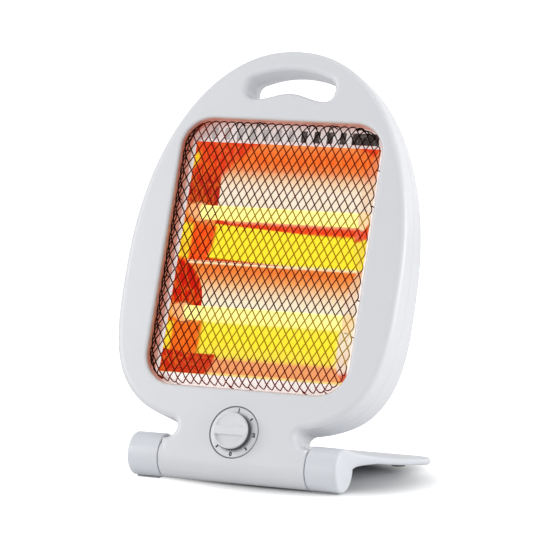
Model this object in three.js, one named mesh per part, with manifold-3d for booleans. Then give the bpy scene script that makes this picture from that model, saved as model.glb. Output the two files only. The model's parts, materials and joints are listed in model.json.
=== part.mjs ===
// Portable quartz heater: a leaning egg-shaped body on a hinged foot, in millimetres, +Z up, front towards -Y.
// The heater's own group has its origin on the hinge axis and its panel upright; the group then leans back.
import * as THREE from 'three';
import { mergeVertices } from 'three/addons/utils/BufferGeometryUtils.js';
import Module from 'manifold-3d';

const wasm = await Module();
wasm.setup();

// Clearances
const seatGap = 0.3;
const runningGap = 0.5;
const cutOverrun = 2;
const sheetThickness = 1;

// Hinge barrel
const barrelRadius = 18.5;
const barrelHalfLength = 67.2;
const bodyLean = THREE.MathUtils.degToRad(22);

// Body outline, seen from the front, heights above the hinge axis
const bodyHalfWidth = 127.8;
const bodyTop = 356;
const bodyBottom = 26;
const bodyWidestHeight = 160;
const topFullness = 2.12;
const bottomFullness = 3.35;
const neckHalfWidth = 55;
const neckFlareHeight = 9;
const neckFlareRise = 12;
const neckFillet = 6;

// Body depth
const bodyWall = 2.6;
const frontRounding = 5.6;
const rearRounding = 8;
const seamBehindAxis = 2.5;
const seamGap = 0.3;
const backDepth = 30;
const backDepthAtTop = 13;
const backCurveStart = 90;
const backCurvePower = 1.3;
const backBlendStart = 12;
const backBlendEnd = 52;

// Front opening and its return wall
const openingSideBand = 34.8;
const openingHalfWidth = bodyHalfWidth - openingSideBand;
const openingBottom = 58.5;
const openingTop = 293;
const openingCorner = 27;
const openingLipRounding = 3;
const openingWall = 2.2;
const openingWallDepth = 15;

// Handle hole: an arched top over a humped bottom edge
const handleHalfWidth = 41;
const handleArchTop = 338.5;
const handleArchRadius = 92;
const handleHumpHeight = 318;
const handleDipHeight = 312;
const handleDipPlace = 32;
const handleEndRadius = 9;
const handleRounding = 4.5;
const handleWall = 2.2;

// Wire guard
const guardClearance = 1.2;
const guardBend = 7;
const guardProud = 1.5;
const guardCrown = 3;
const guardHem = 2;
const guardWire = 1.4;
const guardThickness = 1.2;
const guardColumns = 12;
const guardRows = 9;
const guardLeastGapArea = 18;

// Reflector tray
const flangeThickness = 1;
const flangeOverlap = 9;
const traySideInset = 7;
const trayHalfWidth = openingHalfWidth - traySideInset;
const trayBottom = 71;
const trayTop = 283;
const troughDepth = 19;
const troughSplit = 171;
const ridgeDepth = 5;
const troughBluntness = 4;
const cheekRun = 20;
const ventSlotWidth = 11;
const ventSlotHeight = 4.5;
const ventSlotCount = 9;
const ventSlotPitch = 16;

// Tube brackets
const bracketOutset = 11;
const bracketPlane = trayHalfWidth + bracketOutset;
const bracketReach = 17;
const bracketMargin = 16;
const bracketFlange = 7;

// Quartz tubes
const tubeBehindAxis = 6.2;
const tubeRadius = 6.25;
const tubeBore = 5.2;
const tubeShortOfBracket = 9;
const tubeHalfLength = bracketPlane - tubeShortOfBracket;
const lowerTubeBelowSplit = 45;
const lowerTubeHeight = troughSplit - lowerTubeBelowSplit;
const upperTubeAboveSplit = 44;
const upperTubeHeight = troughSplit + upperTubeAboveSplit;
const coreRadius = 3.4;
const coreShortOfTube = 8;
const coreHalfLength = tubeHalfLength - coreShortOfTube;
const spacerThickness = 2;
const ceramicRadius = 8;
const ceramicInsideBracket = 23;
const ceramicInner = bracketPlane - ceramicInsideBracket;
const ceramicLength = 28;
const terminalPinRadius = 1.6;
const terminalPinLength = 9;

// Heat shield and cut-out
const shieldSideInset = 22;
const shieldHalfWidth = trayHalfWidth - shieldSideInset;
const shieldBottom = 84;
const shieldTop = 238;
const cutoutAboveCurveStart = 81;
const cutoutPlaceHeight = backCurveStart + cutoutAboveCurveStart;
const cutoutRadius = 8;
const cutoutHeight = 4.4;
const cutoutEarLength = 28;
const cutoutEarWidth = 7;

// Control knob and dial
const knobHeight = 21.2;
const knobRadius = 16;
const knobDepth = 9;
const knobSkirt = 1.5;
const knobRim = 2;
const knobBarWidth = 7.5;
const knobPocketDepth = 3.5;
const dialRadius = 21.6;
const dialBore = 16.6;
const dialThickness = 2;
const dialProud = 0.8;
const shaftRadius = 3;
const shaftLength = 18;
const shaftInKnob = 5;
const switchWidth = 24;
const switchDepth = 11;
const switchHeight = 22;
const switchBushRadius = 5;

// Housing screws, at the same places on both sides
const screwPostRadius = 4.6;
const screwShankRadius = 1.5;
const screwHeadRadius = 3.2;
const screwHeadHeight = 2;
const screwWellRadius = 3.8;
const screwWellDepth = 5;
const screwBite = 9;
const lowScrewInset = 43.8;
const lowScrewHeight = 50;
const sideScrewInset = 13.8;
const sideScrewBelowTube = 22;
const topScrewInset = 63.8;
const topScrewBelowTop = 43;
const screwPlaces = [
  { x: bodyHalfWidth - lowScrewInset, z: lowScrewHeight },
  { x: bodyHalfWidth - sideScrewInset, z: lowerTubeHeight - sideScrewBelowTube },
  { x: bodyHalfWidth - sideScrewInset, z: (lowerTubeHeight + upperTubeHeight) / 2 },
  { x: bodyHalfWidth - topScrewInset, z: bodyTop - topScrewBelowTop },
];

// Tip-over switch
const tipInsideScrew = 18;
const tipPlaceX = tipInsideScrew - screwPlaces[0].x;
const tipPlaceY = 10.9;
const tipPlaceZ = 52;
const tipCaseWidth = 20;
const tipCaseDepth = 25;
const tipCaseHeight = 26;
const tipCaseWall = 1.6;
const tipPinRadius = 1.3;
const tipArmLength = 12;
const tipArmWidth = 5;
const tipWeightRadius = 5;
const tipWeightLength = 12;
const tipPostDrop = 4;

// Terminal block and cable gland
const blockInsideScrew = 26;
const blockPlaceX = screwPlaces[0].x - blockInsideScrew;
const blockPlaceY = 8;
const blockPlaceZ = 46;
const blockWidth = 34;
const blockDepth = 14;
const blockHeight = 11;
const clampGap = 0.8;
const glandInsideBlock = 28;
const glandPlaceX = blockPlaceX - glandInsideBlock;
const glandPlaceZ = 56;
const glandRadius = 6;
const glandFlangeRadius = 9.5;
const glandFlangeThickness = 3;
const glandBore = 3.6;
const glandInside = 6;

// Rear vents
const rearSlotWidth = 4;
const rearSlotHeight = 24;
const rearSlotPitch = 12;
const rearSlotCount = 8;
const upperVentHeight = 250;
const lowerVentHeight = 96;

// Foot: end caps on the barrel's axis and a curved plate behind them, with the plate's side view as
// shares of its reach along Y and of the axis's height above the floor along Z
const capHalfLength = 96.6;
const capWall = 3;
const capEdgeRounding = 1.6;
const hubRadius = 8;
const plateRearReach = 144;
const plateSideSlope = 0.2;
const plateCorner = 21;
const notchReach = 39;
const notchCorner = 10;
const floorDrop = 19.1;
const plateTopShares = [
  [0.065, 0.859],
  [0.18, 0.555],
  [0.34, 0.22],
  [0.507, -0.063],
  [0.674, -0.293],
  [0.84, -0.487],
  [1, -0.644],
];
const plateUnderShares = [
  [1, -0.921],
  [0.84, -0.785],
  [0.674, -0.592],
  [0.507, -0.366],
  [0.347, -0.126],
  [0.23, -0.052],
  [0.146, -0.084],
  [0.065, -0.314],
];
const padRadius = 6;
const padInsideCap = 4.6;
const padPlaceX = capHalfLength - padInsideCap;
const padFromRear = 16;
const padPlaceY = plateRearReach - padFromRear;
const padThickness = 3.2;
const capPadWidth = 12;
const capPadMargin = 4.45;
const capPadProud = 0.6;
const hingeScrewRadius = 2.5;
const hingeHeadRadius = 5;
const hingeHeadHeight = 3;
const hingeScrewLength = 16;
const hingeWasherRadius = 12;
const hingeWasherThickness = 1.2;

// Leads, as points on their centre lines: what each point lies near, and how far from it along X, Y and Z
const leadRadius = 1.5;
const leadSides = 5;
const leadSteps = 12;
const linkLead = [
  ['upperLeftEnd', -10, 3.5, 0],
  ['upperLeftEnd', -9, 6.8, -8],
  ['lowerLeftEnd', -8.4, 7.8, 44],
  ['lowerLeftEnd', -9, 6.8, 8],
  ['lowerLeftEnd', -10, 3.5, 0],
];
const feedLead = [
  ['lowerRightEnd', 10, 3.5, 0],
  ['lowerRightEnd', 9, 6.8, -9],
  ['lowerRightEnd', 1, 7.8, -34],
  ['block', 22, 5.5, 26],
  ['block', 12.5, 4, 15],
  ['block', 11.3, 3.5, 0.5],
];
const cutoutLead = [
  ['upperRightEnd', 10, 3.5, 0],
  ['upperRightEnd', 9, 7.8, -7],
  ['upperRightEnd', 3, 13.2, -13],
  ['upperRightEnd', -9, 13.8, -19],
  ['cutout', 60, 2.3, 15],
  ['cutout', 25, 3.3, 1],
  ['cutout', 9, 3.3, 0],
];
const returnLead = [
  ['cutout', -9, 3.3, 0],
  ['cutout', -20, 3.3, -9],
  ['cutout', -20, 3.4, -49],
  ['block', -56, 14, 44],
  ['block', -16, 9, 21],
  ['block', -1, 4, 14],
  ['block', 0, 3.5, 0.5],
];
const switchLead = [
  ['switch', 6, -4, 4.8],
  ['switch', 6.5, 1, 5.8],
  ['block', -28, 1, 4],
  ['block', -17, 3, 14],
  ['block', -11.5, 3.5, 9],
  ['block', -11.3, 3.5, 0.6],
];

// Facet counts
const outlineSteps = 24;
const roundingSteps = 3;
const barrelSides = 36;
const smallSides = 14;
const cornerSteps = 5;

const finishes = {
  shell: { color: 0xe6e6ea, roughness: 0.35, metalness: 0 },
  shellGrey: { color: 0xd9dade, roughness: 0.45, metalness: 0 },
  blackWire: { color: 0x1b1716, roughness: 0.5, metalness: 0.3 },
  mirrorSheet: { color: 0xd8d4cc, roughness: 0.15, metalness: 1 },
  plainSheet: { color: 0xb9bcbf, roughness: 0.4, metalness: 1 },
  quartz: { color: 0xffd35a, roughness: 0.2, metalness: 0 },
  element: { color: 0xff8a1e, roughness: 0.6, metalness: 0.2 },
  ceramic: { color: 0xece6da, roughness: 0.7, metalness: 0 },
  darkPlastic: { color: 0x33353a, roughness: 0.6, metalness: 0 },
  rubber: { color: 0x3a3a3c, roughness: 0.9, metalness: 0 },
  steel: { color: 0xa9abae, roughness: 0.35, metalness: 1 },
  brass: { color: 0xc9a24b, roughness: 0.35, metalness: 1 },
  lead: { color: 0xf2efe6, roughness: 0.7, metalness: 0 },
};

// Turns a closed geometry into a solid that can be cut and joined.
function solidOf(geometry) {
  const bare = geometry.clone();
  bare.deleteAttribute('normal');
  bare.deleteAttribute('uv');
  const merged = mergeVertices(bare, seatGap / 1000);
  const triVerts = Uint32Array.from(merged.index.array);
  const vertProperties = Float32Array.from(merged.attributes.position.array);
  return new wasm.Manifold(new wasm.Mesh({ numProp: 3, vertProperties, triVerts }));
}

// Turns a solid back into a geometry for a mesh.
function geometryOf(solid) {
  const mesh = solid.getMesh();
  const geometry = new THREE.BufferGeometry();
  geometry.setAttribute('position', new THREE.BufferAttribute(Float32Array.from(mesh.vertProperties), 3));
  geometry.setIndex(new THREE.BufferAttribute(Uint32Array.from(mesh.triVerts), 1));
  geometry.computeVertexNormals();
  return geometry;
}

function addPiece(group, name, finish, geometry) {
  const mesh = new THREE.Mesh(geometry, new THREE.MeshStandardMaterial(finishes[finish]));
  mesh.name = name;
  group.add(mesh);
  return mesh;
}

// A box between any two opposite corners.
function boxBetween(corner, opposite) {
  const box = new THREE.Box3().setFromPoints([corner, opposite]);
  const size = box.getSize(new THREE.Vector3());
  const middle = box.getCenter(new THREE.Vector3());
  return new THREE.BoxGeometry(size.x, size.y, size.z).translate(middle.x, middle.y, middle.z);
}

// A rod along X, Y or Z between two places on that axis.
function rodAlong(axis, radius, from, to, sides = smallSides) {
  const rod = new THREE.CylinderGeometry(radius, radius, to - from, sides);
  if (axis === 'x') rod.rotateZ(-Math.PI / 2);
  if (axis === 'z') rod.rotateX(Math.PI / 2);
  const middle = (from + to) / 2;
  const place = { x: [middle, 0, 0], y: [0, middle, 0], z: [0, 0, middle] }[axis];
  return rod.translate(...place);
}

// Extrudes a shape drawn in X and Z along Y.
function extrudeAlongY(shape, from, to) {
  const slab = new THREE.ExtrudeGeometry(shape, { depth: to - from, bevelEnabled: false });
  return slab.rotateX(Math.PI / 2).translate(0, to, 0);
}

// Extrudes a shape drawn in Y and Z along X.
function extrudeAlongX(shape, from, to) {
  const slab = new THREE.ExtrudeGeometry(shape, { depth: to - from, bevelEnabled: false });
  const turn = new THREE.Matrix4().makeBasis(
    new THREE.Vector3(0, 1, 0),
    new THREE.Vector3(0, 0, 1),
    new THREE.Vector3(1, 0, 0),
  );
  return slab.applyMatrix4(turn).translate(from, 0, 0);
}

// Extrudes a shape drawn in X and Y along Z.
function extrudeAlongZ(shape, from, to) {
  return new THREE.ExtrudeGeometry(shape, { depth: to - from, bevelEnabled: false }).translate(0, 0, from);
}

function shapeOf(points) {
  return new THREE.Shape(points.map((point) => new THREE.Vector2(point.x, point.y)));
}

// Moves each point of a counter-clockwise outline inwards along its corner's bisector.
function insetOutline(points, inset) {
  return points.map((point, index) => {
    const before = points[(index + points.length - 1) % points.length];
    const after = points[(index + 1) % points.length];
    const inward = new THREE.Vector2().subVectors(point, before).normalize();
    const onward = new THREE.Vector2().subVectors(after, point).normalize();
    const normalIn = new THREE.Vector2(-inward.y, inward.x);
    const normalOn = new THREE.Vector2(-onward.y, onward.x);
    const bisector = new THREE.Vector2().addVectors(normalIn, normalOn).normalize();
    const stretch = 1 / Math.max(bisector.dot(normalIn), 0.4);
    return point.clone().addScaledVector(bisector, inset * stretch);
  });
}

// A rounded rectangle as a counter-clockwise outline.
function roundedRectangle(halfWidth, low, high, corner) {
  const points = [];
  const centres = [
    [halfWidth - corner, low + corner, -Math.PI / 2],
    [halfWidth - corner, high - corner, 0],
    [corner - halfWidth, high - corner, Math.PI / 2],
    [corner - halfWidth, low + corner, Math.PI],
  ];
  for (const [x, z, start] of centres) {
    for (let step = 0; step <= cornerSteps; step += 1) {
      const turn = start + (Math.PI / 2) * (step / cornerSteps);
      points.push(new THREE.Vector2(x + corner * Math.cos(turn), z + corner * Math.sin(turn)));
    }
  }
  return points;
}

// Joins rings of equal point counts into one closed solid; ladder caps pair each point with its mirror image.
function loftRings(rings, ladderCaps) {
  const count = rings[0].length;
  const vertices = rings.flat().flatMap((point) => [point.x, point.y, point.z]);
  const faces = [];
  for (let ring = 0; ring < rings.length - 1; ring += 1) {
    for (let index = 0; index < count; index += 1) {
      const a = ring * count + index;
      const b = ring * count + ((index + 1) % count);
      faces.push(a, b + count, b, a, a + count, b + count);
    }
  }
  const capFaces = ladderCaps ? ladderFaces(count) : outlineFaces(rings[0]);
  const last = (rings.length - 1) * count;
  for (const [a, b, c] of capFaces) {
    faces.push(a, b, c, last + a, last + c, last + b);
  }
  const geometry = new THREE.BufferGeometry();
  geometry.setAttribute('position', new THREE.Float32BufferAttribute(vertices, 3));
  geometry.setIndex(faces);
  return geometry;
}

// Faces across an outline whose second half mirrors its first half, with one shared point at the top.
function ladderFaces(count) {
  const half = (count - 1) / 2;
  const faces = [];
  for (let index = 0; index < half - 1; index += 1) {
    const mirror = count - 1 - index;
    faces.push([index, index + 1, mirror - 1], [index, mirror - 1, mirror]);
  }
  faces.push([half - 1, half, half + 1]);
  return faces;
}

// Faces across any flat outline.
function outlineFaces(ring) {
  return THREE.ShapeUtils.triangulateShape(ring.map((point) => new THREE.Vector2(point.x, point.z)), []);
}

// One point of the egg-shaped outline; the turn runs from -90 degrees at the bottom to 90 at the top.
function eggPoint(turn) {
  const across = Math.cos(turn);
  const along = Math.sin(turn);
  const fullness = along >= 0 ? topFullness : bottomFullness;
  const reach = along >= 0 ? bodyTop - bodyWidestHeight : bodyWidestHeight - bodyBottom;
  const x = bodyHalfWidth * Math.max(across, 0) ** (2 / fullness);
  const z = bodyWidestHeight + reach * Math.sign(along) * Math.abs(along) ** (2 / fullness);
  return new THREE.Vector2(x, z);
}

// The whole body outline, counter-clockwise from the bottom right: barrel end, neck, egg, and the mirror image.
function bodyOutline() {
  const right = [new THREE.Vector2(barrelHalfLength, -rearRounding)];
  const flareRun = barrelHalfLength - neckHalfWidth;
  for (let step = 0; step <= cornerSteps; step += 1) {
    const turn = (Math.PI / 2) * (1 - step / cornerSteps);
    const x = barrelHalfLength - flareRun * Math.cos(turn);
    const z = neckFlareHeight + neckFlareRise * (1 - Math.sin(turn));
    right.push(new THREE.Vector2(x, z));
  }
  const joinX = neckHalfWidth + neckFillet;
  const startTurn = -Math.acos((joinX / bodyHalfWidth) ** (bottomFullness / 2));
  const joinZ = eggPoint(startTurn).y;
  for (let step = 0; step < cornerSteps; step += 1) {
    const turn = (Math.PI / 2) * (step / cornerSteps);
    const x = joinX - neckFillet * Math.cos(turn);
    right.push(new THREE.Vector2(x, joinZ + neckFillet * (Math.sin(turn) - 1)));
  }
  for (let step = 0; step < outlineSteps; step += 1) {
    const share = step / outlineSteps;
    right.push(eggPoint(startTurn + (Math.PI / 2 - startTurn) * share));
  }
  const left = right.map((point) => new THREE.Vector2(-point.x, point.y)).reverse();
  return [...right, new THREE.Vector2(0, bodyTop), ...left];
}

// How far the back lies behind the hinge axis at a height.
function backAt(z) {
  const rise = Math.max(z - backCurveStart, 0) / (bodyTop - backCurveStart);
  const body = backDepth - (backDepth - backDepthAtTop) * Math.min(rise, 1) ** backCurvePower;
  const blend = THREE.MathUtils.smoothstep(z, backBlendStart, backBlendEnd);
  return barrelRadius + (body - barrelRadius) * blend;
}

// The outer body, or its inner space when it is inset by the wall.
function bodyShell(inset) {
  const outline = bodyOutline();
  const front = frontRounding - inset;
  const rear = rearRounding - inset;
  const rings = [];
  for (let step = 0; step <= roundingSteps; step += 1) {
    const turn = (Math.PI / 2) * (step / roundingSteps);
    const ring = insetOutline(outline, inset + front * (1 - Math.sin(turn)));
    const y = inset - barrelRadius + front * (1 - Math.cos(turn));
    rings.push(ring.map((point) => new THREE.Vector3(point.x, y, point.y)));
  }
  for (let step = 0; step <= roundingSteps; step += 1) {
    const turn = (Math.PI / 2) * (step / roundingSteps);
    const ring = insetOutline(outline, inset + rear * (1 - Math.cos(turn)));
    const back = (z) => backAt(z) - inset - rear * (1 - Math.sin(turn));
    rings.push(ring.map((point) => new THREE.Vector3(point.x, back(point.y), point.y)));
  }
  const barrel = rodAlong('x', barrelRadius - inset, inset - barrelHalfLength, barrelHalfLength - inset, barrelSides);
  return solidOf(loftRings(rings, true)).add(solidOf(barrel));
}

// The handle hole's outline: an arc above, a hump with two dips below, and round ends.
function handleOutline() {
  const points = [];
  const arch = (x) => handleArchTop - handleArchRadius + Math.sqrt(handleArchRadius ** 2 - x ** 2);
  const endX = handleHalfWidth - handleEndRadius;
  const endLow = handleDipHeight + handleEndRadius;
  for (let step = 0; step <= cornerSteps; step += 1) {
    const turn = -Math.PI / 2 + (Math.PI / 2) * (step / cornerSteps);
    const x = endX + handleEndRadius * Math.cos(turn);
    points.push(new THREE.Vector2(x, endLow + handleEndRadius * Math.sin(turn)));
  }
  const archSpan = handleHalfWidth - handleEndRadius / 2;
  for (let step = 0; step <= cornerSteps * 2; step += 1) {
    const x = archSpan * (1 - step / cornerSteps);
    points.push(new THREE.Vector2(x, arch(x)));
  }
  for (let step = cornerSteps; step >= 0; step -= 1) {
    const turn = -Math.PI / 2 + (Math.PI / 2) * (step / cornerSteps);
    const x = -endX - handleEndRadius * Math.cos(turn);
    points.push(new THREE.Vector2(x, endLow + handleEndRadius * Math.sin(turn)));
  }
  const humpSteps = cornerSteps * 2;
  for (let step = 1; step < humpSteps; step += 1) {
    const x = handleDipPlace * ((2 * step) / humpSteps - 1);
    const swell = (1 + Math.cos((Math.PI * x) / handleDipPlace)) / 2;
    points.push(new THREE.Vector2(x, handleDipHeight + (handleHumpHeight - handleDipHeight) * swell));
  }
  return points;
}

// A cutter through the body that widens in a rounding at its front end and, if asked, at its back end.
function roundedCutter(outline, rounding, to, rearToo) {
  const rings = [];
  const flare = (widen, yAt) => {
    const ring = insetOutline(outline, -widen);
    rings.push(ring.map((point) => new THREE.Vector3(point.x, yAt(point.y), point.y)));
  };
  flare(rounding, () => -barrelRadius - cutOverrun);
  for (let step = 0; step <= roundingSteps; step += 1) {
    const turn = (Math.PI / 2) * (step / roundingSteps);
    flare(rounding * (1 - Math.sin(turn)), () => rounding * (1 - Math.cos(turn)) - barrelRadius);
  }
  if (rearToo) {
    for (let step = roundingSteps; step >= 0; step -= 1) {
      const turn = (Math.PI / 2) * (step / roundingSteps);
      flare(rounding * (1 - Math.sin(turn)), (z) => backAt(z) - rounding * (1 - Math.cos(turn)));
    }
    flare(rounding, () => to);
  } else {
    flare(0, () => to);
  }
  return solidOf(loftRings(rings, false));
}

function prism(outline, from, to) {
  return solidOf(extrudeAlongY(shapeOf(outline), from, to));
}

// Each screw place on the right and, mirrored, on the left.
function bothSides(places) {
  return places.flatMap((place) => [place, { x: -place.x, z: place.z }]);
}

// A rod along Y at a place on the panel.
function rodAtPlace(place, radius, from, to, sides = smallSides) {
  return solidOf(rodAlong('y', radius, from, to, sides).translate(place.x, 0, place.z));
}

const farBehind = backDepth + cutOverrun;
const farAhead = -barrelRadius - cutOverrun;
const reachAround = bodyTop + cutOverrun;

function halfSpace(from, to) {
  const low = new THREE.Vector3(-reachAround, from, -reachAround);
  return solidOf(boxBetween(low, new THREE.Vector3(reachAround, to, reachAround)));
}

const flangeFront = openingWallDepth - barrelRadius + seatGap;
const flangeBack = flangeFront + flangeThickness;

// What both shells share: the opening's and handle's walls, the screw posts and the journal holes.
function wholeHousing() {
  const handle = handleOutline();
  const opening = roundedRectangle(openingHalfWidth, openingBottom, openingTop, openingCorner);
  const outer = bodyShell(0);
  let inner = bodyShell(bodyWall);
  inner = inner.subtract(prism(insetOutline(handle, -handleWall - handleRounding / 2), farAhead, farBehind));
  const wallBack = openingWallDepth - barrelRadius;
  inner = inner.subtract(prism(insetOutline(opening, -openingWall), farAhead, wallBack));
  for (const place of bothSides(screwPlaces)) {
    inner = inner.subtract(rodAtPlace(place, screwPostRadius, farAhead, farBehind));
  }
  let shell = outer.subtract(inner);
  shell = shell.subtract(roundedCutter(handle, handleRounding, farBehind, true));
  shell = shell.subtract(roundedCutter(opening, openingLipRounding, wallBack + seatGap, false));
  const journal = rodAlong('x', hubRadius + runningGap, -capHalfLength, capHalfLength, smallSides);
  return shell.subtract(solidOf(journal));
}

const knobPlace = { x: 0, z: knobHeight };
const dialBack = dialThickness - dialProud - barrelRadius;

function frontHousing(whole) {
  let shell = whole.intersect(halfSpace(farAhead, seamBehindAxis));
  shell = shell.subtract(rodAtPlace(knobPlace, dialRadius + seatGap, farAhead, dialBack + seatGap, barrelSides));
  shell = shell.subtract(rodAtPlace(knobPlace, switchBushRadius + seatGap, farAhead, 0));
  for (const place of bothSides(screwPlaces)) {
    const pilotEnd = seamBehindAxis - screwBite - seatGap;
    const pilot = rodAtPlace(place, screwShankRadius + seatGap, pilotEnd, farBehind, smallSides / 2);
    shell = shell.subtract(pilot);
  }
  return shell;
}

function rearHousing(whole) {
  let shell = whole.intersect(halfSpace(seamBehindAxis + seamGap, farBehind));
  for (const place of bothSides(screwPlaces)) {
    const wellFloor = backAt(place.z) - screwWellDepth;
    shell = shell.subtract(rodAtPlace(place, screwWellRadius, wellFloor, farBehind));
    shell = shell.subtract(rodAtPlace(place, screwShankRadius + seatGap, 0, farBehind, smallSides / 2));
  }
  for (const height of [lowerVentHeight, upperVentHeight]) {
    for (let index = 0; index < rearSlotCount; index += 1) {
      const x = rearSlotPitch * (index - (rearSlotCount - 1) / 2);
      const low = new THREE.Vector3(x - rearSlotWidth / 2, seamBehindAxis + bodyWall, height - rearSlotHeight / 2);
      const high = new THREE.Vector3(x + rearSlotWidth / 2, farBehind, height + rearSlotHeight / 2);
      shell = shell.subtract(solidOf(boxBetween(low, high)));
    }
  }
  const glandHole = { x: glandPlaceX, z: glandPlaceZ };
  return shell.subtract(rodAtPlace(glandHole, glandRadius + seatGap, seamBehindAxis + bodyWall, farBehind));
}

// Cuts a polygon by a counter-clockwise convex border.
function clipToBorder(polygon, border) {
  let points = polygon;
  border.forEach((start, index) => {
    const end = border[(index + 1) % border.length];
    const side = (point) => (end.x - start.x) * (point.y - start.y) - (end.y - start.y) * (point.x - start.x);
    const kept = [];
    points.forEach((point, place) => {
      const next = points[(place + 1) % points.length];
      const here = side(point);
      const there = side(next);
      if (here >= 0) kept.push(point);
      if (here >= 0 !== there >= 0) kept.push(point.clone().lerp(next, here / (here - there)));
    });
    points = kept;
  });
  return points;
}

// Drops points that lie closer together than a wire's width.
function thinOut(points) {
  return points.filter((point, index) => {
    const next = points[(index + 1) % points.length];
    return point.distanceTo(next) > guardWire / 2;
  });
}

// The guard's flat blank, drawn in X and Y: a rounded sheet with a net of diamond gaps inside a hem.
function guardBlank() {
  const skirt = openingWallDepth + guardProud - guardBend;
  const spread = (guardBend * Math.PI) / 2 + skirt - guardBend;
  const halfWidth = openingHalfWidth - guardClearance + spread;
  const low = openingBottom + guardClearance - spread;
  const high = openingTop - guardClearance + spread;
  const border = roundedRectangle(halfWidth, low, high, openingCorner + spread);
  const inner = insetOutline(border, guardHem);
  let sheet = solidOf(extrudeAlongZ(shapeOf(border), 0, guardThickness));
  const pitchX = (2 * halfWidth) / guardColumns;
  const pitchZ = (high - low) / guardRows;
  const middle = (low + high) / 2;
  const rib = guardWire / 2;
  const slant = Math.hypot(pitchX, pitchZ);
  const gapX = pitchX / 2 - (rib * slant) / pitchZ;
  const gapZ = pitchZ / 2 - (rib * slant) / pitchX;
  for (let column = -guardColumns; column <= guardColumns; column += 1) {
    for (let row = -guardRows - 1; row <= guardRows + 1; row += 1) {
      if ((column + row) % 2 !== 0) continue;
      const x = (column * pitchX) / 2;
      const z = middle + (row * pitchZ) / 2;
      const corners = [[gapX, 0], [0, gapZ], [-gapX, 0], [0, -gapZ]];
      const diamond = corners.map(([across, up]) => new THREE.Vector2(x + across, z + up));
      const gap = thinOut(clipToBorder(diamond, inner));
      if (gap.length < 3 || THREE.ShapeUtils.area(gap) < guardLeastGapArea) continue;
      sheet = sheet.subtract(solidOf(extrudeAlongZ(shapeOf(gap), -cutOverrun, guardThickness + cutOverrun)));
    }
  }
  return geometryOf(sheet);
}

// Bends the flat blank into a shallow basket: a crowned face, a rolled edge and a straight skirt.
function wireGuard() {
  const blank = guardBlank();
  const faceHalfWidth = openingHalfWidth - guardClearance - guardBend;
  const faceLow = openingBottom + guardClearance + guardBend;
  const faceHigh = openingTop - guardClearance - guardBend;
  const corner = openingCorner - guardBend;
  const faceMiddle = (faceLow + faceHigh) / 2;
  const faceHalfHeight = (faceHigh - faceLow) / 2;
  const position = blank.attributes.position;
  const point = new THREE.Vector3();
  for (let index = 0; index < position.count; index += 1) {
    point.fromBufferAttribute(position, index);
    const x = THREE.MathUtils.clamp(point.x, corner - faceHalfWidth, faceHalfWidth - corner);
    const z = THREE.MathUtils.clamp(point.y, faceLow + corner, faceHigh - corner);
    const outward = new THREE.Vector2(point.x - x, point.y - z);
    const beyond = outward.length() - corner;
    const crownX = 1 - (Math.min(Math.abs(point.x), faceHalfWidth) / faceHalfWidth) ** 2;
    const crownZ = 1 - (Math.min(Math.abs(point.y - faceMiddle), faceHalfHeight) / faceHalfHeight) ** 2;
    const face = -barrelRadius - guardProud - guardCrown * crownX * crownZ;
    if (beyond <= 0) {
      position.setXYZ(index, point.x, face + point.z, point.y);
      continue;
    }
    const bendTurn = Math.min(beyond / guardBend, Math.PI / 2);
    const down = Math.max(beyond - (guardBend * Math.PI) / 2, 0);
    const radius = guardBend - point.z;
    const out = corner + radius * Math.sin(bendTurn);
    const y = face + guardBend - radius * Math.cos(bendTurn) + down;
    outward.normalize();
    position.setXYZ(index, x + outward.x * out, y, z + outward.y * out);
  }
  // Y and Z have changed places, which mirrors the sheet, so each face is turned back.
  const faces = blank.index.array;
  for (let face = 0; face < faces.length; face += 3) {
    [faces[face], faces[face + 1]] = [faces[face + 1], faces[face]];
  }
  blank.computeVertexNormals();
  return blank;
}

// How far the reflector's face lies behind its flange at a height: two blunt troughs with a ridge between them.
function troughAt(z) {
  const lower = z < troughSplit;
  const low = lower ? trayBottom : troughSplit;
  const high = lower ? troughSplit : trayTop;
  const share = (2 * z - low - high) / (high - low);
  const towardsRidge = lower ? share > 0 : share < 0;
  const edge = towardsRidge ? ridgeDepth : 0;
  return edge + (troughDepth - edge) * (1 - Math.abs(share) ** troughBluntness);
}

// Keeps what lies between the slanted cheeks; a margin moves both cheek planes outwards.
function betweenCheeks(margin) {
  const back = flangeFront + troughDepth + cutOverrun;
  const rise = (flangeFront - cutOverrun - back) / -troughDepth;
  const narrow = trayHalfWidth - cheekRun - (cheekRun * cutOverrun) / troughDepth + margin;
  const wide = narrow + rise * cheekRun;
  const plan = [
    new THREE.Vector2(-narrow, back),
    new THREE.Vector2(-wide, flangeFront - cutOverrun),
    new THREE.Vector2(wide, flangeFront - cutOverrun),
    new THREE.Vector2(narrow, back),
  ];
  return solidOf(extrudeAlongZ(shapeOf(plan), -reachAround, reachAround));
}

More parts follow.
